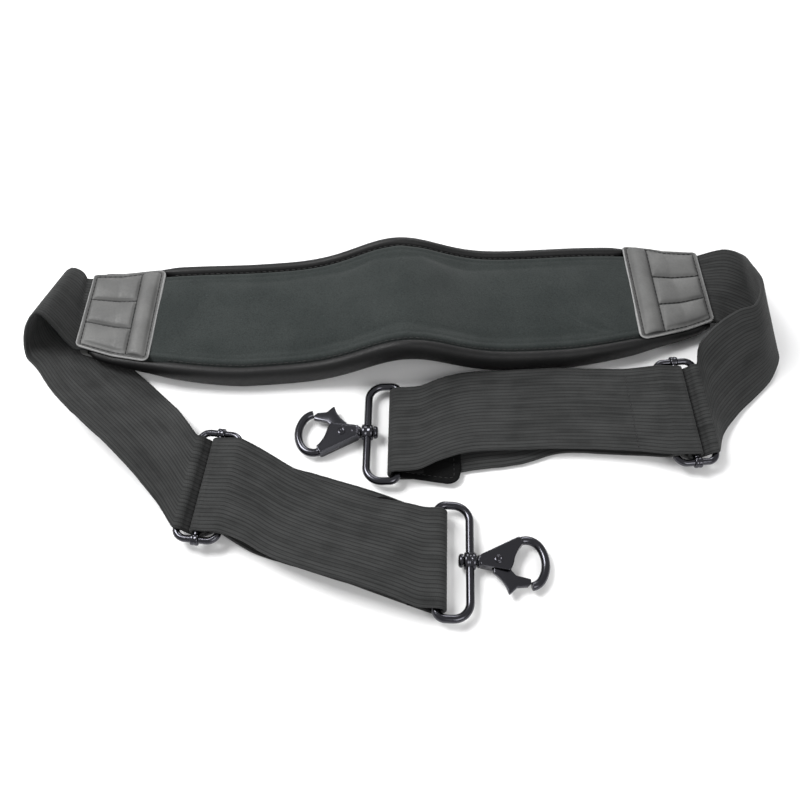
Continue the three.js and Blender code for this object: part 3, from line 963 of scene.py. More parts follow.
@dataclass(frozen=True)
class PadSpace:
    """The pad's own directions: u along it, v across it and w up from its underside."""

    length: float = 350.0
    half_width: float = 36.0
    thickness: float = 13.0
    end_thickness: float = 5.8
    taper: float = 90.0
    end_offset: float = 7.5
    hump_height: float = 16.5
    hump_reach: float = 32.7
    lift_left: float = 11.5
    lift_right: float = 3.6
    middle: Pair = (1.0, 52.5)
    slope: float = 0.07

    def endward(self, u: np.ndarray) -> np.ndarray:
        """How far into the tapered ends a place lies, from 0 to 1."""
        return np.maximum(0, (np.abs(u) - self.length / 2 + self.taper) / self.taper)

    def near_edge(self, u: np.ndarray) -> np.ndarray:
        """v of the edge nearer the wearer's front."""
        reach = self.half_width - WEBBING_WIDTH / 2 + self.end_offset
        return -self.half_width + reach * self.endward(u) ** 1.6

    def far_edge(self, u: np.ndarray) -> np.ndarray:
        """v of the other edge."""
        reach = self.half_width - WEBBING_WIDTH / 2 - self.end_offset
        return self.half_width - reach * self.endward(u) ** 3

    def height(self, u: np.ndarray) -> np.ndarray:
        """The pad's thickness."""
        thinner = np.minimum(1, (1.25 * self.endward(u)) ** 2)
        return self.thickness - (self.thickness - self.end_thickness) * thinner

    def lift(self, u: np.ndarray) -> np.ndarray:
        """Height of the underside above the table."""
        ends = np.where(np.asarray(u) < 0, self.lift_left, self.lift_right)
        hump = self.hump_height * np.exp(-((np.asarray(u) / self.hump_reach) ** 2))
        return ends * self.endward(u) ** 1.5 + hump

    def spread(
        self, u: np.ndarray, share: np.ndarray, inset: float
    ) -> tuple[np.ndarray, np.ndarray]:
        """Rows of places across the pad.

        Args:
            u: of each row.
            share: of the way across, for the places of a row.
            inset: how far the rows stop inside the pad's edges.

        Returns:
            v of each place, and its distance from the rows' nearer end.
        """
        near, far = self.near_edge(u) + inset, self.far_edge(u) - inset
        width = (far - near)[:, None]
        return near[:, None] + width * share, np.minimum(share, 1 - share) * width

    def place(self, u: np.ndarray, v: np.ndarray, w: np.ndarray) -> np.ndarray:
        """Carry pad places to the bench."""
        u, v, w = np.broadcast_arrays(
            np.asarray(u, float), np.asarray(v, float), np.asarray(w, float)
        )
        turn = math.atan(self.slope)
        x = self.middle[0] + u * math.cos(turn) - v * math.sin(turn)
        y = self.middle[1] + u * math.sin(turn) + v * math.cos(turn)
        return np.stack([x, y, self.lift(u) + w + 0.1], -1)

    def flat(self, u: np.ndarray, v: np.ndarray) -> np.ndarray:
        """The same places on flat cloth, in metres."""
        return np.stack(np.broadcast_arrays(u, v), -1) * MM


PAD = PadSpace()


@dataclass
class ShoulderPad:
    """The contoured pad: foam, a knitted face, rolled edge bindings and an underside."""

    step: float = 1.5
    panel: float = 1.5
    crown: float = 0.8
    groove_inset: float = 2.5
    foam_inset: float = 3.4
    under_inset: float = 0.4
    roll_outward: float = 3.9
    roll_inward: float = 3.1

    def build(self) -> None:
        """Make and dress every piece of the pad but its end patches."""
        foam = self.foam_core()
        dress_padded(foam, FOAM, "foam", "pad_foam_core")
        dress_padded(self.top_panel(foam), NEOPRENE, "neoprene", "pad_top_panel")
        dress_padded(self.underside(), EDGING, "edging", "pad_underside_panel")
        for name, side in (("front", -1), ("back", 1)):
            roll = self.edge_roll(name, side)
            dress_padded(roll, EDGING, "edging", f"pad_{name}_edge_band")
        finish_piece(self.edge_seams(), THREAD, "edging", "strap")

    def stations(self, end: float, step: float) -> np.ndarray:
        """Places along the pad, the same to both sides."""
        return np.linspace(-end, end, 2 * round(end / step) + 1)

    def foam_core(self) -> Object:
        """Shape the foam between its seams, with a filled cloth's swelling on top.

        Returns:
            The closed foam body.
        """
        u = self.stations(150.0, 3.5)
        share = np.linspace(0, 1, 23)
        v, edge = PAD.spread(u, share, self.foam_inset)
        thick = PAD.height(u)[:, None] - 2 * 1.6
        belly = 0.55 + 0.45 * np.sqrt(ease(0, 9, edge))
        top = PAD.place(u[:, None], v, 1.9 + thick * (0.5 + 0.5 * belly) - 0.9)
        bottom = PAD.place(u[:, None], v, 1.9 + thick * (0.5 - 0.5 * belly))
        cloth = PAD.flat(u[:, None], v)
        foam = layered_solid("pad_foam_body", top, bottom, cloth)
        self.swell(foam)
        return foam

    def swell(self, foam: Object, pressure: float = 4.0, cap: float = 1.1) -> None:
        """Fill the foam by cloth simulation, and keep a short part of each point's move.

        The free simulation moves most points past the cap, so it gives the direction of
        the swelling and the cap gives its size.

        Args:
            foam: the body, which is reshaped.
            pressure: of the filling.
            cap: the most that is kept of a point's move, in millimetres.
        """
        apply_modifier(foam, "REMESH", mode="VOXEL", voxel_size=5.0 * MM)
        rest = np.array([v.co[:] for v in foam.data.vertices])
        take(foam)
        cloth = foam.modifiers.new("cloth", "CLOTH")
        cloth.settings.use_pressure = True
        cloth.settings.uniform_pressure_force = pressure
        cloth.settings.effector_weights.gravity = 0.0
        scene = bpy.context.scene
        scene.frame_start, scene.frame_end = 1, SWELL_FRAMES
        cloth.point_cache.frame_start, cloth.point_cache.frame_end = 1, SWELL_FRAMES
        for moment in range(1, SWELL_FRAMES + 1):
            scene.frame_set(moment)
        bpy.ops.object.modifier_apply(modifier=cloth.name)
        scene.frame_set(1)
        moved = np.array([v.co[:] for v in foam.data.vertices]) - rest
        far = np.linalg.norm(moved, axis=1)
        share = np.minimum(1.0, cap * MM / np.maximum(far, 1e-9))
        foam.data.vertices.foreach_set("co", (rest + moved * share[:, None]).ravel())
        foam.data.update()
        apply_modifier(foam, "SUBSURF", levels=1, render_levels=1)
        bpy.ops.object.shade_smooth()
        held = float(np.mean(far > cap * MM))
        log.info("foam: %.2f mm before the cap, %.0f%% held by it", far.max() / MM, 100 * held)

    def top_panel(self, foam: Object) -> Object:
        """Lay the knitted face over the foam, turned down into the edge grooves.

        Args:
            foam: the swollen body under it.

        Returns:
            The closed face, a panel thick.
        """
        u = self.stations(PAD.length / 2 - 5, self.step)
        share = (1 - np.cos(np.linspace(0, math.pi, 79))) / 2 * 0.45 + np.linspace(0, 1, 79) * 0.55
        v, edge = PAD.spread(u, share, self.groove_inset)
        along = u[:, None] + 0 * v
        mid = ease(0, 24, edge)
        height = PAD.height(u)[:, None] + self.crown * mid
        height = height - 2.6 * ridge(edge, 0, 1.25)
        height = height - 0.25 * ridge(edge, 4.6, 0.8)
        height = height + self.press_mark(along, v) + self.hump_crease(along, v)
        height = height + self.swelling(foam, along, v)
        for (i, j), at in np.ndenumerate(along):
            spot = Vector((at / 17.0, v[i, j] / 14.0, 0.3))
            height[i, j] += 0.16 * noise.noise(spot) * mid[i, j]
        top = PAD.place(along, v, height)
        bottom = PAD.place(along, v, height - self.panel)
        return layered_solid("pad_knit_face", top, bottom, PAD.flat(along, v))

    def swelling(self, foam: Object, u: np.ndarray, v: np.ndarray) -> np.ndarray:
        """How far the filled foam stands above its own smooth mean at each place."""
        tree = BVHTree.FromPolygons(
            [p.co for p in foam.data.vertices], [f.vertices[:] for f in foam.data.polygons]
        )
        spots = in_frame(PAD.place(u, v, 60.0))
        found = np.full(u.shape, np.nan)
        for i, j in np.ndindex(u.shape):
            hit = tree.ray_cast(Vector(spots[i, j]), Vector((0, 0, -1)))
            if hit[0] is not None:
                found[i, j] = hit[0].z / MM - BENCH_SHIFT[2] - 0.1 - PAD.lift(u[i, j])
        over = found - PAD.height(u)
        usual = np.nanmedian(over)
        inside = ease(5, 14, np.minimum(v - PAD.near_edge(u), PAD.far_edge(u) - v))
        inside = inside * (1 - ease(100, 128, np.abs(u)))
        return np.nan_to_num(np.clip(over - usual, -0.9, 0.9)) * inside

    def press_mark(self, u: np.ndarray, v: np.ndarray) -> np.ndarray:
        """A faint curved mark that something round has pressed into the face."""
        middle_u, middle_v, radius = 121.5, 12.5, 37.0
        reach = np.hypot(u - middle_u, v - middle_v)
        angle = np.degrees(np.arctan2(v - middle_v, u - middle_u))
        within = ease(-178, -160, angle) * (1 - ease(-112, -98, angle)) + ease(168, 180, angle)
        return (-0.45 * ridge(reach, radius, 0.9) + 0.12 * ridge(reach, radius + 2.2, 1.2)) * (
            np.clip(within, 0, 1)
        )

    def hump_crease(self, u: np.ndarray, v: np.ndarray) -> np.ndarray:
        """A soft fold where the pad bends over its middle."""
        return 0.35 * ridge(u, 0.6 + 0.02 * v, 3.2) - 0.22 * ridge(u, 7.5, 3.0)

    def edge_roll(self, name: str, side: int) -> Object:
        """Roll a binding round one long edge of the pad.

        Args:
            name: of the edge.
            side: -1 for the nearer edge and 1 for the other.

        Returns:
            The closed roll.
        """
        u = self.stations(ROLL_END, 1.9)
        angles = np.linspace(0, 2 * math.pi, 37)[:-1]
        edge = PAD.near_edge(u) if side < 0 else PAD.far_edge(u)
        under_patch = ease(124, 140, np.abs(u))
        closing = 1 - ease(ROLL_END - 6, ROLL_END, np.abs(u)) ** 2
        closing = np.sqrt(np.clip(closing, 0.02, 1))
        inward = (self.roll_inward * (1 - under_patch) + 0.4 * under_patch) * closing
        outward = self.roll_outward * (1 - 0.25 * under_patch) * closing
        tall = PAD.height(u)
        proud = (0.8 if side > 0 else 0.45) * (1 - under_patch) - 0.35 * under_patch
        half = (tall + proud) / 2 * (0.55 + 0.45 * closing)
        cosine, sine = np.cos(angles), np.sin(angles)
        bow = np.sign(cosine) * np.abs(cosine) ** 0.85
        rise = np.sign(sine) * np.abs(sine) ** 0.8
        reach_at = np.where(bow[None, :] > 0, outward[:, None], inward[:, None])
        v = edge[:, None] + side * bow * reach_at
        w = (tall + proud)[:, None] / 2 + rise * half[:, None]
        points = PAD.place(u[:, None], v, w)
        rows, columns = points.shape[:2]
        index = np.arange(rows * columns).reshape(rows, columns)
        ahead = np.roll(index, -1, axis=1)
        sides = np.stack([index[:-1], index[1:], ahead[1:], ahead[:-1]], -1).reshape(-1, 4)
        roll = make_object(f"pad_{name}_roll", points.reshape(-1, 3), sides)
        edit(roll, "DESELECT")
        bpy.ops.mesh.select_mode(type="VERT")
        bpy.ops.mesh.select_non_manifold()
        bpy.ops.mesh.fill_holes(sides=0)
        bpy.ops.mesh.delete_loose()
        leave_edit()
        return roll

    def underside(self) -> Object:
        """Lay the flat panel that rests on the shoulder.

        Returns:
            The closed panel.
        """
        u = self.stations(PAD.length / 2 - 4, 3.0)
        share = np.linspace(0, 1, 37)
        v, edge = PAD.spread(u, share, self.under_inset)
        tucked = 0.5 * ridge(edge, 0, 1.5)
        quilt = 0.12 * np.sin(u / 9.0)[:, None] * ease(2, 12, edge)
        bottom = PAD.place(u[:, None], v, 0.02 + tucked)
        top = PAD.place(u[:, None], v, 1.5 + quilt)
        cloth = PAD.flat(u[:, None], v)
        return layered_solid("pad_under_face", top, bottom, cloth)

    def edge_seams(self) -> Object:
        """Sew the face to the rolls, low in both grooves."""
        lines = []
        for side in (-1, 1):
            u = self.stations(GROOVE_REACH, 2.0)
            edge = PAD.near_edge(u) if side < 0 else PAD.far_edge(u)
            v = edge - side * (self.roll_inward + 0.1)
            path = PAD.place(u, v, PAD.height(u) - 0.62)
            lines.append((path, straight_up(len(u))))
        return sew("pad_groove_stitches", lines, 2.6, 0.7, 0.5)


@dataclass
class EndPatch:
    """A leatherette patch with one padded bar and three sewn cells."""

    side: Side
    inner: Pair
    outer: Pair
    wrap: float
    length: float = 42.0
    leather: float = 0.95
    margin: float = 2.3
    bar: Pair = (3.4, 13.0)
    bar_rise: float = 2.7
    cell_rise: float = 1.8
    cells: tuple[float, ...] = (0.0, 0.31, 0.66, 1.0)
    upright: float = 13.9

    def build(self) -> None:
        """Make and dress the upper patch, the lower patch and their stitches."""
        name = self.side.label
        dress_padded(self.upper(), PATCH, "leatherette", f"{name}_end_patch_top")
        dress_padded(self.lower(), PATCH, "leatherette", f"{name}_end_patch_bottom")
        finish_piece(self.stitches(), THREAD, "edging", "strap")

    def outline(self, d: np.ndarray, t: np.ndarray) -> tuple[np.ndarray, np.ndarray]:
        """Carry a place on the patch to the pad.

        Args:
            d: distance from the inner edge, in millimetres.
            t: share of the way from the nearer to the farther long edge.

        Returns:
            u and v on the pad.
        """
        inner = self.inner[0] + (self.inner[1] - self.inner[0]) * t
        outer = self.outer[0] + (self.outer[1] - self.outer[0]) * t
        u = inner + (outer - inner) * d / self.length
        near = PAD.near_edge(u) - 0.2
        far = PAD.far_edge(u) + 0.2 + self.wrap * (1 - ease(0, self.length, d))
        cut = np.maximum(rounded_end(d, 4.5), rounded_end(self.length - d, 2.5))
        v = near + cut + (far - near - 2 * cut) * t
        return -self.side.value * u, v

    def long_edges(self, d: np.ndarray) -> tuple[np.ndarray, np.ndarray]:
        """The v of the nearer and the farther long edge, at distances from the inner one."""
        return self.outline(d, np.zeros_like(d))[1], self.outline(d, np.ones_like(d))[1]

    def relief(self, d: np.ndarray, v: np.ndarray, near: np.ndarray, far: np.ndarray) -> dict:
        """The patch's heights and marks.

        Args:
            d: distance from the inner edge.
            v: place across the pad.
            near: v of the patch's nearer edge there.
            far: v of its farther edge there.

        Returns:
            Height, a mark of the seams and of the painted shade in the gutter inside the edge, and rim
            mark.
        """
        edge = np.minimum.reduce([d, v - near, far - v, self.length - d])
        low, high = near + 3.2, far - 3.2
        across = (v - low) / (high - low)
        rise = self.bar_rise * bulge(d, *self.bar, 0.55) * bulge(across, -0.02, 1.02, 0.22)
        # The gutter inside the cut edge is darkened with the seams: painted shade in the groove.
        gutter = ease(0.7, 1.2, edge) * (1 - ease(2.4, 3.4, edge))
        seam = np.maximum(ridge(edge, self.margin, 0.5), 0.62 * gutter)
        inside = (edge > self.margin).astype(float)
        seam = np.maximum(seam, ridge(d, self.upright, 0.55) * inside)
        for start, stop in zip(self.cells[:-1], self.cells[1:]):
            pillow = bulge(across, start + 0.018, stop - 0.018, 0.4)
            pillow = pillow * bulge(d, self.upright + 0.7, self.length - 3.4, 0.3)
            rise = rise + self.cell_rise * pillow
            if stop < 1:
                line = ridge(across, stop, 0.014) * (d > self.upright) * inside
                seam = np.maximum(seam, line)
        height = self.leather + rise - 0.55 * seam - 0.7 * (1 - ease(0, 0.6, edge))
        rim = 1 - ease(0.55, 1.0, edge)
        return {"height": height, "seam": seam * (1 - rim), "rim": rim}

    def grid(self, step: float) -> tuple[np.ndarray, ...]:
        """Distances from the inner edge and shares across, close together at the edges."""
        ends = np.array([0, 0.35, 0.8, 1.3, 1.9, 2.5, 3.1, 3.7])
        middle = np.linspace(4.3, self.length - 4.3, round((self.length - 8.6) / step))
        d = np.concatenate([ends, middle, (self.length - ends)[::-1]])
        width = PATCH_WIDTH
        side = np.linspace(4.3, width - 4.3, round((width - 8.6) / step))
        t = np.concatenate([ends, side, (width - ends)[::-1]]) / width
        return np.meshgrid(d, t, indexing="ij")

    def upper(self) -> Object:
        """Lay the padded patch over the pad's end."""
        d, t = self.grid(0.62)
        u, v = self.outline(d, t)
        near, far = self.long_edges(d)
        relief = self.relief(d, v, near, far)
        grain = np.array([
            noise.noise(Vector((a / 4.0, b / 4.0, 1.7))) for a, b in zip(u.ravel(), v.ravel())
        ]).reshape(u.shape)
        over = np.maximum(0.0, v - PAD.far_edge(u))
        base = PAD.height(u) + 0.25 - 0.1 * over * over
        top = PAD.place(u, v, base + relief["height"] + 0.07 * grain)
        bottom = PAD.place(u, v, base + np.minimum(0.12, relief["height"] - 0.1))
        marks = {"seam": relief["seam"], "rim": relief["rim"]}
        return layered_solid(
            f"{self.side.label}_patch_quilted", top, bottom, PAD.flat(u, v), marks
        )

    def lower(self) -> Object:
        """Lay the plain patch under the pad's end."""
        d, t = self.grid(1.4)
        u, v = self.outline(d, t)
        near, far = self.long_edges(d)
        edge = np.minimum.reduce([d, v - near, far - v, self.length - d])
        seam = ridge(edge, self.margin, 0.45)
        outside = -0.3 - 0.85 + 0.3 * seam + 0.4 * (1 - ease(0, 0.9, edge))
        bottom = PAD.place(u, v, outside)
        top = PAD.place(u, v, np.maximum(outside + 0.15, -0.3))
        marks = {"seam": seam, "rim": 1 - ease(0.9, 1.5, edge)}
        return layered_solid(
            f"{self.side.label}_patch_plain", bottom, top, PAD.flat(u, v), marks
        )

    def stitches(self) -> Object:
        """Sew round the patch, down beside the bar and between the cells."""
        m, end = self.margin, self.length - self.margin
        a = m / PATCH_WIDTH
        runs = [
            (np.linspace(m, end, 40), np.full(40, a)),
            (np.linspace(m, end, 40), np.full(40, 1 - a)),
            (np.full(40, m), np.linspace(a, 1 - a, 40)),
            (np.full(40, end), np.linspace(a, 1 - a, 40)),
            (np.full(40, self.upright), np.linspace(a, 1 - a, 40)),
        ]
        for cut in self.cells[1:-1]:
            share = 0.055 + 0.89 * cut
            runs.append((np.linspace(self.upright, end, 24), np.full(24, share)))
        lines = []
        for d, t in runs:
            u, v = self.outline(d, t)
            path = PAD.place(u, v, PAD.height(u) + 0.25 + self.leather - 0.28)
            lines.append((path, straight_up(len(d))))
        return sew(f"{self.side.label}_patch_stitches", lines, 2.0, 0.75, 0.5)


# ---------------------------------------------------------------- routes of the strap


def seat(x: float, y: float, z: float, azimuth: float, roll: float, side: int) -> Matrix:
    """Where a fitting sits: X towards the hook, Y across the webbing and Z up.

    Args:
        x: of the fitting's middle, in bench millimetres.
        y: of its middle.
        z: of its middle.
        azimuth: of its bars, in degrees.
        roll: how far its bars lean, in degrees.
        side: 1 for the left side and -1 for the right.

    Returns:
        The seat as a matrix in millimetres.
    """
    turn, up = math.radians(azimuth), math.radians(roll)
    across = side * Vector(
        (math.cos(up) * math.cos(turn), math.cos(up) * math.sin(turn), math.sin(up))
    )
    heading = side * Vector((math.sin(turn), -math.cos(turn), 0))
    normal = heading.cross(across)
    basis = Matrix((heading, across, normal)).transposed().to_4x4()
    return Matrix.Translation((x, y, z)) @ basis


def arc(
    x: float, z: float, radius: float, start: float, stop: float, step: float = 12.0
) -> list[Pair]:
    """Points on an arc about (x, z), from one angle to another in degrees."""
    count = max(1, round(abs(stop - start) / step))
    angles = [math.radians(start + (stop - start) * k / count) for k in range(count + 1)]
    return [(x + radius * math.cos(a), z + radius * math.sin(a)) for a in angles]


BAR_PITCH = 10.25
LAP = 2.85
NEST = 4.75
RING_LAP = 4.4
TAB_LAP = 2.8
RING_REACH = 16.0

THREADED_IN = arc(-BAR_PITCH, 0, LAP + 0.1, 105, 15) + arc(0, 0, NEST + 0.1, 215, 270)
THREADED_OUT = arc(0, 0, NEST + 0.1, 281, 325) + arc(BAR_PITCH, 0, LAP + 0.1, 165, 15)
SEWN = (
    arc(BAR_PITCH, 0, NEST + 0.1, 75, 105)
    + arc(0, 0, LAP, 75, 330)
    + [(BAR_PITCH * 0.42, LAP * 0.32)]
)
RING_FOLD = arc(0, 0, RING_LAP, -90, 90)

Station = tuple[tuple[float, float, float], tuple[float, float, float]]


@dataclass(frozen=True)
class StrapRoute:
    """The places of one side of the strap, in bench millimetres."""

    side: Side
    slider: Matrix
    ring: Matrix
    from_pad: tuple[Station, ...]
    lower: tuple[Station, ...]
    upper: tuple[Station, ...]
    tab_skew: float

    def ruling(self, place: Matrix, x: float, z: float, skew: float = 0.0) -> Ruling:
        """A line across the webbing in a fitting's own directions."""
        sign, half = self.side.value, WEBBING_WIDTH / 2
        return tuple(
            place @ Vector((x, end * sign * half - sign * skew, z)) for end in (-1, 1)
        )

    def tongue(self) -> list[Ruling]:
        """The webbing's end between the pad's panels, and straight out of them."""
        middle = (PAD.near_edge(PAD.length / 2) + PAD.far_edge(PAD.length / 2)) / 2
        rulings = []
        for outside in (-21, -14, -7, 0, 2):
            u = -self.side.value * (PAD.length / 2 + outside)
            w = PAD.height(u) / 2
            ends = [PAD.place(u, middle + end * WEBBING_WIDTH / 2, w) for end in (-1, 1)]
            rulings.append(tuple(Vector(end) for end in ends))
        return rulings

    def rulings(self) -> tuple[list[Ruling], int]:
        """All rulings from the pad to the sewn end.

        Returns:
            The rulings, and how many of them come before the slider's centre bar.
        """
        free = [
            [tuple(Vector(end) for end in station) for station in stations]
            for stations in (self.from_pad, self.lower, self.upper)
        ]
        first = self.tongue() + free[0]
        first += [self.ruling(self.slider, x, z) for x, z in THREADED_IN]
        rest = [self.ruling(self.slider, x, z) for x, z in THREADED_OUT] + free[1]
        rest += [self.ruling(self.ring, x, z) for x, z in RING_FOLD] + free[2]
        rest += [self.ruling(self.slider, x, z) for x, z in SEWN]
        return first + rest, len(first) - 1


LEFT = StrapRoute(
    side=Side.LEFT,
    slider=seat(-94, -55.5, 8.6, 83, 3, 1),
    ring=seat(17, -93, 5.3, 88, 0, 1),
    from_pad=(
        ((-178, 24.5, 20.5), (-178.8, 73.5, 17)), ((-182, 27.5, 29.5), (-181.5, 75, 19)),
        ((-187.5, 28, 39), (-185, 75, 21)),
        ((-192.5, 23.5, 36), (-190, 71, 18)), ((-195.5, 18.5, 28), (-192, 64, 11)),
        ((-194, 12, 24), (-185.5, 56, 6)), ((-188, 5.5, 23), (-176, 48, 2.4)),
        ((-176, -9.5, 23), (-159, 30, 1)), ((-158, -26.5, 23), (-138.5, 11.5, 1)),
        ((-143, -39.5, 21), (-129.5, 2.5, 2)), ((-129, -53, 17), (-120, -7, 5)),
        ((-117, -66, 12.5), (-111.5, -18, 11.5)),
    ),
    lower=(
        ((-70, -88, 1.2), (-62, -39, 1.2)), ((-46, -96, 1), (-38, -47, 1)),
        ((-22, -104, 1), (-14, -55, 1)), ((-2, -111.5, 1), (4, -62, 1)),
    ),
    upper=(
        ((8, -118, 10.5), (12, -67.5, 9.6)), ((-2, -114.5, 13.5), (4, -65.5, 8.5)),
        ((-22, -108, 15.5), (-14.5, -60.5, 4.8)), ((-42, -101.5, 14.5), (-33.5, -54, 4.8)),
        ((-62, -93.5, 12), (-53, -45, 6)), ((-74, -87, 13.5), (-66, -38, 9.5)),
    ),
    tab_skew=-11.0,
)

RIGHT = StrapRoute(
    side=Side.RIGHT,
    slider=seat(147.5, -13.5, 10.4, 95, 8, -1),
    ring=seat(-0.8, -23.3, 5.3, 89, 0, -1),
    from_pad=(
        ((187, 48, 2), (187, 91, 16)), ((199.5, 42, 1), (192, 80, 24.5)),
        ((206.5, 36, 1), (190.5, 65, 35)), ((209, 28, 1), (188.5, 44, 44)),
        ((202.5, 14, 1), (182, 30, 43)), ((190.5, 2, 1), (176, 31, 36)),
        ((178, -9, 2), (166.5, 26, 31)), ((166, -24, 5), (157, 17, 25.5)),
    ),
    lower=(
        ((125, -35, 1.2), (122.5, 15, 2)), ((106, -34, 1), (107, 16, 1)),
        ((82, -33.5, 1), (83, 16.5, 1)), ((62, -39.5, 1), (63, 10, 1)),
        ((36, -43.5, 1), (37, 6.5, 1)), ((14, -47.5, 1), (15, 2, 1)),
    ),
    upper=(
        ((9, -47, 9.6), (10, 2.5, 9.4)), ((20, -41.5, 9), (20, 8, 7.8)),
        ((35, -36, 7.4), (34, 13.5, 6)), ((58, -34, 6.2), (59.5, 15, 5.4)),
        ((83.5, -33, 5.8), (86, 16.3, 6)), ((104, -34, 6.6), (106, 15.5, 6.6)),
        ((121, -36, 8), (120, 14, 9)),
    ),
    tab_skew=4.5,
)


def catmull_rom(points: Sequence[Vector], index: int, t: float) -> Vector:
    """A place between two knots of a centripetal Catmull-Rom curve.

    Args:
        points: the curve's knots.
        index: of the knot before the place.
        t: share of the way to the next knot.

    Returns:
        The place.
    """
    last = len(points) - 1
    b, c = points[index], points[index + 1]
    a = points[index - 1] if index > 0 else 2 * points[0] - points[1]
    d = points[index + 2] if index + 2 <= last else 2 * points[last] - points[last - 1]
    spans = [max(1e-4, (q - p).length ** 0.5) for p, q in ((a, b), (b, c), (c, d))]
    leave = (b - a) / spans[0] - (c - a) / (spans[0] + spans[1]) + (c - b) / spans[1]
    arrive = (c - b) / spans[1] - (d - b) / (spans[1] + spans[2]) + (d - c) / spans[2]
    leave, arrive = leave * spans[1], arrive * spans[1]
    square, cube = t * t, t * t * t
    return (
        b + leave * t
        + (-3 * b + 3 * c - 2 * leave - arrive) * square
        + (2 * b - 2 * c + leave + arrive) * cube
    )


@dataclass
class Rows:
    """Rows across a strip: their middles, directions and distances along it."""

    middle: np.ndarray
    across: np.ndarray
    normal: np.ndarray
    along: np.ndarray

    @classmethod
    def through(cls, rulings: Sequence[Ruling], spacing: float) -> tuple["Rows", list[int]]:
        """Draw a strip smoothly through rulings.

        Args:
            rulings: lines across the strip.
            spacing: of its rows, in millimetres.

        Returns:
            The rows, and the row at each ruling.
        """
        near = [ruling[0] for ruling in rulings]
        far = [ruling[1] for ruling in rulings]
        middles, acrosses, at_ruling = [], [], []
        for i in range(len(rulings) - 1):
            run = ((near[i] + far[i]) - (near[i + 1] + far[i + 1])).length / 2
            steps = max(1, round(run / spacing))
            at_ruling.append(len(middles))
            for k in range(steps + (i == len(rulings) - 2)):
                a, b = (catmull_rom(edge, i, k / steps) for edge in (near, far))
                middles.append((a + b) / 2)
                acrosses.append((b - a).normalized())
        at_ruling.append(len(middles) - 1)
        middle, across = np.array(middles), np.array(acrosses)
        ahead = np.concatenate([middle[1:], middle[-1:]])
        behind = np.concatenate([middle[:1], middle[:-1]])
        normal = np.cross(ahead - behind, across)
        normal /= np.linalg.norm(normal, axis=1)[:, None]
        steps = np.linalg.norm(np.diff(middle, axis=0), axis=1)
        along = np.concatenate([[0], np.cumsum(steps)])
        return cls(middle, across, normal, along), at_ruling

    def part(self, start: int, stop: int) -> "Rows":
        """The rows from one number up to and with another."""
        cut = slice(start, stop + 1)
        return Rows(self.middle[cut], self.across[cut], self.normal[cut], self.along[cut])

    def surface(self, y: np.ndarray, lift: np.ndarray) -> np.ndarray:
        """Places across every row, lifted off the strip's middle."""
        return (
            self.middle[:, None]
            + y[..., None] * self.across[:, None]
            + lift[..., None] * self.normal[:, None]
        )


# ---------------------------------------------------------------- webbing and tabs


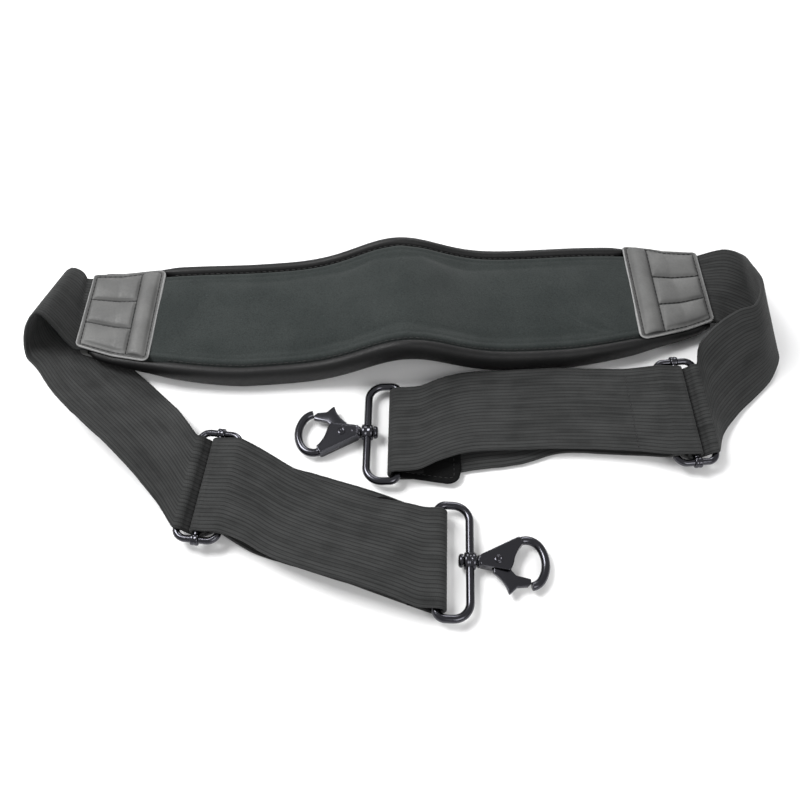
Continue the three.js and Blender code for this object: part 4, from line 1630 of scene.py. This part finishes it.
@dataclass
class Webbing:
    """One side's ribbed elastic, in two pieces that meet under the slider's centre bar."""

    route: StrapRoute
    spacing: float = 2.3
    ribs: int = 25
    rib_height: float = 0.14
    half_thickness: float = 0.72
    ripple: float = 0.14
    bend_far: float = 62.0
    bend_near: float = 15.0

    def build(self) -> None:
        """Make the lead from the pad, the loop through the ring, and their stitches."""
        name = self.route.side.label
        rulings, split = self.route.rulings()
        rows, at = Rows.through(rulings, self.spacing)
        lead = self.strip(f"{name}_webbing_lead", rows.part(0, at[split]))
        loop = self.strip(f"{name}_webbing_loop", rows.part(at[split], len(rows.along) - 1))
        finish_piece(lead, ELASTIC, "elastic", None, f"{name}_webbing")
        finish_piece(loop, ELASTIC, "elastic", None, f"{name}_webbing")
        near_slider = self.seams(rows, at)
        finish_piece(near_slider, THREAD, "elastic", None)
        for piece, side in ((lead, -1), (loop, 1), (near_slider, 1)):
            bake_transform(piece)
        lengths = (rows.along[at[split]], rows.along[-1] - rows.along[at[split]])
        for piece, length in zip((lead, loop), lengths):
            log.info("%s: %.0f mm long", piece.name, length)

    def freedom(self, rows: Rows) -> np.ndarray:
        """How freely each row may ripple: 0 in the fittings and the pad, 1 well clear of them."""
        slider = np.array(self.route.slider.translation)
        ring = np.array(self.route.ring.translation)
        reach = np.minimum(
            np.linalg.norm(rows.middle - slider, axis=1) - 16,
            np.linalg.norm(rows.middle - ring, axis=1) - 10,
        )
        return ease(0, 26, reach) * ease(30, 60, rows.along)

    def strip(self, name: str, rows: Rows) -> Object:
        """Weave one closed strip along its rows.

        Args:
            name: the piece's name.
            rows: of the strip.

        Returns:
            The ribbed strip.
        """
        per_rib = 4
        half = WEBBING_WIDTH / 2
        y = np.linspace(-half, half, self.ribs * per_rib + 1)
        y = np.concatenate([[-half, -half + 0.12], y[1:-1], [half - 0.12, half]])
        pitch = WEBBING_WIDTH / self.ribs
        rib = self.rib_height * np.abs(np.sin(math.pi * (y + half) / pitch)) ** 0.7
        edge = half - np.abs(y)
        thick = self.half_thickness * rounded_edge(edge, 0.7, 0.09)
        top = thick + rib * (edge > 0.3)
        free = self.freedom(rows)[:, None]
        wave = np.zeros((len(rows.along), len(y)))
        for (i, j), _ in np.ndenumerate(wave):
            wave[i, j] = noise.noise(Vector((rows.along[i] / 21.0, y[j] / 26.0, 5.1)))
        flare = 0.55 * np.abs(y / half) ** 3 * noise_line(rows.along, 13.0, 2.2)[:, None]
        drift = free * (self.ripple * wave + flare * 0.6)
        shake = 0.16 * noise_line(rows.along, 5.0, 8.4)[:, None] * np.sign(y) * (edge < 3)
        yy = y[None, :] + free * shake
        puff = 0.03 * np.sin(rows.along / 0.9)[:, None]
        above = rows.surface(yy, drift + top[None, :] + puff * (edge > 0.3))
        below = rows.surface(yy, drift - top[None, :] - puff * (edge > 0.3))
        cloth = np.stack(np.broadcast_arrays(y[None, :] + half, rows.along[:, None]), -1) * MM
        return layered_solid(name, above, below, cloth)

    def seams(self, rows: Rows, at: Sequence[int]) -> Object:
        """Sew the doubled end down beside the slider.

        Args:
            rows: of the whole strip.
            at: the row at each ruling.

        Returns:
            One line of stitches across the webbing.
        """
        row = at[-1 - len(SEWN)]
        strip = rows.part(row, row)
        reach = WEBBING_WIDTH / 2 - 1.2
        y = np.linspace(-reach, reach, 26)
        lift = np.full((1, len(y)), self.half_thickness + self.rib_height + 0.02)
        line = (strip.surface(y[None, :], lift)[0], np.repeat(strip.normal, len(y), 0))
        return sew(f"{self.route.side.label}_webbing_stitches", [line], 2.2, 0.8, 0.45)


def noise_line(at: np.ndarray, size: float, seed: float) -> np.ndarray:
    """Smooth noise from -1 to 1 along a line."""
    return np.array([noise.noise(Vector((a / size, seed, 0.5))) for a in at])


@dataclass
class WearTab:
    """The black cloth sewn round the ring's bar, with its loose end on the table."""

    route: StrapRoute
    reach: float = 32.0
    upper_reach: float = 13.0
    corner: float = 8.0
    tucked: float = 0.25
    hem_inset: float = 3.1
    stitch_lift: float = 0.36

    def build(self) -> None:
        """Make and dress the tab and its hem stitches."""
        name = self.route.side.label
        path = [(-self.reach, -TAB_LAP), (-24.0, -TAB_LAP), (-16.0, -TAB_LAP), (-8.0, -TAB_LAP)]
        path += arc(0, 0, TAB_LAP, -90, 90) + [(-self.upper_reach, TAB_LAP - 0.8)]
        skews = [
            self.route.tab_skew * max(0.0, -x) / self.reach * (1.0 if z < 0 else self.tucked)
            for x, z in path
        ]
        rulings = [
            self.route.ruling(self.route.ring, x, z, skew) for (x, z), skew in zip(path, skews)
        ]
        rows, _ = Rows.through(rulings, 0.9)
        share = np.linspace(-1, 1, 61)
        half = (WEBBING_WIDTH - 1) / 2 - rounded_end(rows.along, self.corner)
        y = half[:, None] * share
        edge = np.minimum((1 - np.abs(share)) * half[:, None], rows.along[:, None])
        thick = 0.42 * rounded_edge(edge, 0.6, 0.12)
        thick = thick + 0.06 * ridge(edge, 1.6, 0.9) - 0.08 * ridge(edge, 3.1, 0.35)
        above, below = rows.surface(y, thick), rows.surface(y, -thick)
        cloth = np.stack(np.broadcast_arrays(y + WEBBING_WIDTH / 2, rows.along[:, None]), -1) * MM
        tab = layered_solid(f"{name}_tab_cloth", above, below, cloth)
        finish_piece(tab, TAB, "tab_cloth", "strap", f"{name}_ring_wear_tab")
        finish_piece(self.hem(rows), THREAD, "tab_cloth", "strap")

    def hem(self, rows: Rows) -> Object:
        """Sew the hem of the tab's loose end."""
        half = (WEBBING_WIDTH - 1) / 2 - rounded_end(rows.along, self.corner) - self.hem_inset
        lines = []
        legs = [i for i, at in enumerate(rows.along) if self.hem_inset <= at <= self.reach - 3]
        for sign in (-1, 1):
            picked = rows.part(legs[0], legs[-1])
            y = sign * half[legs[0]: legs[-1] + 1]
            for face in (-1, 1):
                lift = np.full((len(legs), 1), self.stitch_lift * face)
                path = picked.surface(y[:, None], lift)[:, 0]
                lines.append((path, picked.normal * face))
        end = rows.part(legs[0], legs[0])
        y = np.linspace(-half[legs[0]], half[legs[0]], 30)
        for face in (-1, 1):
            lift = np.full((1, 30), self.stitch_lift * face)
            lines.append((end.surface(y[None, :], lift)[0], np.repeat(end.normal * face, 30, 0)))
        return sew(f"{self.route.side.label}_tab_stitches", lines, 2.0, 0.8, 0.4)


# ---------------------------------------------------------------- fittings


@dataclass
class Slider:
    """The wire buckle that sets the strap's length."""

    route: StrapRoute
    wire: float = 3.5
    half: float = 28.45
    corner: float = 5.0
    sleeve: float = 5.7
    sleeve_length: float = 3.8

    def build(self) -> None:
        """Make and dress the frame and its centre bar."""
        name = self.route.side.label
        body = f"{name}_slider"
        loop = wire_loop(
            f"{name}_slider_wire", self.wire, -BAR_PITCH, BAR_PITCH, self.half,
            self.corner, self.corner,
        )
        settle(loop, self.route.slider)
        finish_piece(loop, BLACK_NICKEL, "black_nickel", body, f"{name}_slider_frame")
        bar = self.bar(f"{name}_slider_bar")
        settle(bar, self.route.slider)
        finish_piece(bar, BLACK_NICKEL, "black_nickel", body, f"{name}_slider_centre_bar")

    def bar(self, name: str) -> Object:
        """Cast the centre bar with a rolled sleeve at each end."""
        clear_selection()
        bpy.ops.mesh.primitive_cylinder_add(
            vertices=WIRE_SIDES, radius=self.wire / 2 * MM, depth=2 * (self.half - 1) * MM,
            rotation=(math.pi / 2, 0, 0),
        )
        pieces = [bpy.context.object]
        bore = self.wire / 2 + 0.05
        outer, length = self.sleeve / 2, self.sleeve_length / 2
        profile = [
            (-length, bore), (-length, outer - 0.5), (-length + 0.2, outer - 0.15),
            (-length + 0.6, outer), (-0.5, outer), (-0.2, outer - 0.12), (0.2, outer - 0.12),
            (0.5, outer), (length - 0.6, outer), (length - 0.2, outer - 0.15),
            (length, outer - 0.5), (length, bore), (-length, bore),
        ]
        for end in (-1, 1):
            sleeve = turned(f"{name}_sleeve", profile, along_x=True)
            sleeve.location = (0, end * self.half * MM, 0)
            apply_place(sleeve)
            pieces.append(sleeve)
        joined = join_all(name, pieces)
        apply_place()
        smooth_over(joined, 40)
        return joined


@dataclass
class Ring:
    """The wide ring that carries the hook, with the swivel's boss on its front bar."""

    route: StrapRoute
    wire: float = 4.0
    half: float = 28.3
    back_corner: float = 4.4
    front_corner: float = 8.0
    boss: float = 8.4
    boss_length: float = 6.0

    def build(self) -> None:
        """Make and dress the ring."""
        name = self.route.side.label
        loop = wire_loop(
            f"{name}_ring_wire", self.wire, 0, RING_REACH, self.half,
            self.back_corner, self.front_corner,
        )
        half, outer = self.boss_length / 2, self.boss / 2
        profile = [
            (-half, 1.9), (-half, outer - 1.0), (-half + 0.3, outer - 0.35), (-half + 0.8, outer),
            (-0.9, outer), (-0.5, outer - 0.25), (0.5, outer - 0.25), (0.9, outer),
            (half - 0.8, outer), (half - 0.3, outer - 0.35), (half, outer - 1.0), (half, 1.9),
            (-half, 1.9),
        ]
        boss = turned("boss", profile, along_x=True)
        boss.location = (RING_REACH * MM, 0, 0)
        apply_place(boss)
        ring = join_all(f"{name}_ring_wire", [loop, boss])
        smooth_over(ring, 40)
        settle(ring, ring_seat(self.route))
        finish_piece(ring, BLACK_NICKEL, "black_nickel", f"{name}_ring", f"{name}_ring")


def ring_seat(route: StrapRoute, along: float = 0.0) -> Matrix:
    """The tilted seat of the ring, moved along it towards the hook."""
    tilt = Matrix.Rotation(RING_TILT, 4, "Y")
    return route.ring @ tilt @ Matrix.Translation((along, 0, 0))


@dataclass
class SnapHook:
    """The cast swivel hook with its sprung gate."""

    route: StrapRoute
    height: float = 6.4
    gate_thickness: float = 2.4
    claw: float = 4.2
    eye: Pair = (27.3, 0.3)
    pivot: Pair = (13.3, 0.7)
    voxel: float = 0.27

    def build(self) -> None:
        """Make and dress the hook's five pieces."""
        name = self.route.side.label
        place = ring_seat(self.route, RING_REACH)
        pieces = (
            (self.casting(f"{name}_hook_casting"), "hook", "hook_body"),
            (self.rivet(f"{name}_swivel_head"), "hook", "swivel_rivet"),
            (self.pin(f"{name}_gate_rivet"), "hook", "gate_pin"),
            (self.gate(f"{name}_gate_blade"), "gate", "gate"),
        )
        for piece, body, node in pieces:
            settle(piece, place)
            finish_piece(piece, BLACK_NICKEL, "black_nickel", f"{name}_{body}", f"{name}_{node}")
        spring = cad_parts[f"{name}_gate_spring"]
        for holder in spring.material_slots:
            holder.material = STEEL.make()
        if not spring.material_slots:
            spring.data.materials.append(STEEL.make())

    def casting(self, name: str) -> Object:
        """Cast the plate, the collar and the claw as one rounded body."""
        px, ex, ey = self.pivot[0], self.eye[0], self.eye[1]
        outline = [(4.6, -2.7), (px + 4.9, -4.8), (px + 5.6, -4.5)]
        outline += curve_through((px + 5.6, -4.5), (px + 7.4, -2), (px + 7.8, 1))
        outline += curve_through((px + 7.8, 1), (px + 9, 6), (ex - 1.6, ey + 9.2))
        outline += [(ex - 3.4, ey + 12.6), (ex - 4.6, ey + 12.5), (4.6, 2.9)]
        body = plate("cheeks", outline, self.height)
        self.recess(body)
        clear_selection()
        bpy.ops.mesh.primitive_cube_add(
            size=1, location=((px + 5.0) * MM, -2.4 * MM, 0),
            scale=(15.6 * MM, 12 * MM, (self.gate_thickness + 0.6) * MM),
        )
        slot = bpy.context.object
        apply_modifier(body, "BOOLEAN", operation="DIFFERENCE", object=slot, solver="EXACT")
        bpy.data.objects.remove(slot, do_unlink=True)
        collar = turned(
            "collar",
            [(3.35, 0), (3.35, 2.5), (3.6, 3.0), (4.2, 3.2), (4.8, 3.0), (5.1, 2.5), (5.6, 2.3),
             (6.1, 2.5), (6.6, 2.95), (7.6, 3.1), (8.8, 2.8), (9.6, 1.6), (9.8, 0)],
            along_x=True,
        )
        wire = BentWire("claw", self.claw, (ex - 3.24 - 8.5, ey + 4.2 + 6.65 - 4.15), 26)
        wire.cap()
        wire.run(8.5, 4.15)
        wire.turn(ex, ey + 4.2, 84.1, 14)
        wire.turn(ex - 6.75, ey, 63.8, 14)
        wire.turn(ex, ey - 4.2, 46.0, 8)
        wire.cap()
        claw = wire.done()
        cast = join_all(name, [body, collar, claw])
        apply_modifier(cast, "REMESH", mode="VOXEL", voxel_size=self.voxel * MM)
        apply_modifier(cast, "SMOOTH", factor=0.5, iterations=5)
        bpy.ops.object.shade_smooth()
        return cast

    def recess(self, body: Object) -> None:
        """Sink the middle of both cheeks a little inside a raised rim."""
        take(body)
        for polygon in body.data.polygons:
            polygon.select = abs(polygon.normal.z) > 0.9
        bpy.ops.object.mode_set(mode="EDIT")
        bpy.ops.mesh.select_mode(type="FACE")
        bpy.ops.mesh.inset(thickness=1.0 * MM, depth=-0.28 * MM)
        bpy.ops.object.mode_set(mode="OBJECT")

    def rivet(self, name: str) -> Object:
        """Turn the swivel's domed head and its shank."""
        profile = [
            (-5.5, 0), (-5.5, 1.9), (-5.25, 2.7), (-4.8, 3.15), (-4.2, 3.3), (-3.55, 3.3),
            (-3.35, 3.1), (-3.3, 1.6), (8.0, 1.6), (8.0, 0),
        ]
        return turned(name, profile, along_x=True)

    def pin(self, name: str) -> Object:
        """Turn the gate's pin, with a dimpled head on both cheeks."""
        face = self.height / 2
        half = [
            (0, face - 0.35), (0.55, face - 0.3), (0.85, face + 0.05), (1.25, face + 0.28),
            (1.7, face + 0.22), (2.0, face + 0.02), (2.05, face - 0.25), (1.2, face - 0.3),
        ]
        profile = [(z, radius) for radius, z in half]
        profile += [(-z, radius) for z, radius in reversed(profile)]
        pin = turned(name, profile, along_x=False)
        pin.location = (self.pivot[0] * MM, self.pivot[1] * MM, 0)
        apply_place(pin)
        return pin

    def gate(self, name: str) -> Object:
        """Cut the gate's blade with its thumb spur, and round its edges."""
        px, py = self.pivot
        tip_x, tip_y = self.eye[0] + 1.1, self.eye[1] - 9.8
        outline = [(px - 2.4, py - 0.6)]
        outline += curve_through((px - 2.4, py - 0.6), (px - 1.6, py + 2.6), (px + 1.2, py + 2.4))
        outline += curve_through(
            (px + 1.2, py + 2.4), (px + 5, -3), (tip_x - 6.9, tip_y + 3.2)
        )
        outline += [
            (tip_x, tip_y + 1.7), (tip_x, tip_y - 0.4), (tip_x - 1.6, tip_y - 2.0),
            (px + 8.6, -12), (px + 5.3, -15.3), (px + 4.6, -15.4),
        ]
        outline += curve_through((px + 4.6, -15.4), (px + 3, -9), (px - 2.2, -5.6))
        blade = plate(name, outline, self.gate_thickness)
        apply_modifier(
            blade, "BEVEL", width=0.42 * MM, segments=3, limit_method="ANGLE",
            angle_limit=math.radians(50),
        )
        smooth_over(blade, 35)
        return blade


# ---------------------------------------------------------------- studio


@dataclass
class Studio:
    """A pale floor, soft lights and the camera."""

    eye: tuple[float, float, float] = (-0.006658, -0.234415, 0.378539)
    downward: float = 33.0
    lens: float = 37.8

    def build(self) -> None:
        """Set the camera, the floor, the lights and the surroundings."""
        self.camera()
        self.floor()
        self.light("key", (-0.65, 0.25, 1.0), 0.5, 15.5)
        self.light("fill", (0.55, -0.85, 0.9), 0.6, 5.6)
        self.light("rim", (0.25, 1.1, 0.7), 0.5, 6.0)
        self.surroundings()

    def camera(self) -> None:
        """Look down at the strap from in front of it."""
        lens = bpy.data.cameras.new("camera")
        lens.lens = self.lens
        lens.sensor_width = 36.0
        lens.clip_start = 0.01
        camera = new_object("camera", lens)
        camera.location = self.eye
        camera.rotation_euler = (math.radians(self.downward), 0, 0)
        bpy.context.scene.camera = camera

    def floor(self) -> None:
        """Lay a wide plain floor under the strap."""
        clear_selection()
        bpy.ops.mesh.primitive_plane_add(size=8.0, location=(0, 0, -0.0004))
        floor = bpy.context.object
        floor.name = "floor"
        apply_place()
        floor.data.materials.append(FLOOR.make())

    def light(
        self, name: str, place: tuple[float, float, float], size: float, power: float
    ) -> None:
        """Hang a square soft light that faces the strap's middle."""
        lamp = bpy.data.lights.new(name, "AREA")
        lamp.shape = "SQUARE"
        lamp.size = size
        lamp.energy = power
        holder = new_object(name, lamp)
        holder.location = place
        aim = Vector((0, 0, 0)) - Vector(place)
        holder.rotation_euler = aim.to_track_quat("-Z", "Y").to_euler()

    def surroundings(self) -> None:
        """Fill the room with even white light, and show colours as they are."""
        world = bpy.data.worlds.new("room")
        bpy.context.scene.world = world
        world.use_nodes = True
        back = world.node_tree.nodes["Background"]
        back.inputs["Color"].default_value = (1.0, 1.0, 1.0, 1.0)
        back.inputs["Strength"].default_value = 0.5
        bpy.context.scene.view_settings.view_transform = "Standard"


def main() -> None:
    """Build the strap's sub-assemblies in order, each with its finish."""
    logging.basicConfig(level=logging.INFO, format="%(name)s %(message)s")
    Studio().build()
    ShoulderPad().build()
    EndPatch(Side.LEFT, inner=(137.0, 132.5), outer=(176.0, 172.5), wrap=0.5).build()
    EndPatch(Side.RIGHT, inner=(128.5, 132.5), outer=(173.5, 176.0), wrap=4.2).build()
    for route in (LEFT, RIGHT):
        Webbing(route).build()
        WearTab(route).build()
        Slider(route).build()
        Ring(route).build()
        SnapHook(route).build()


if __name__ == "__main__":
    main()
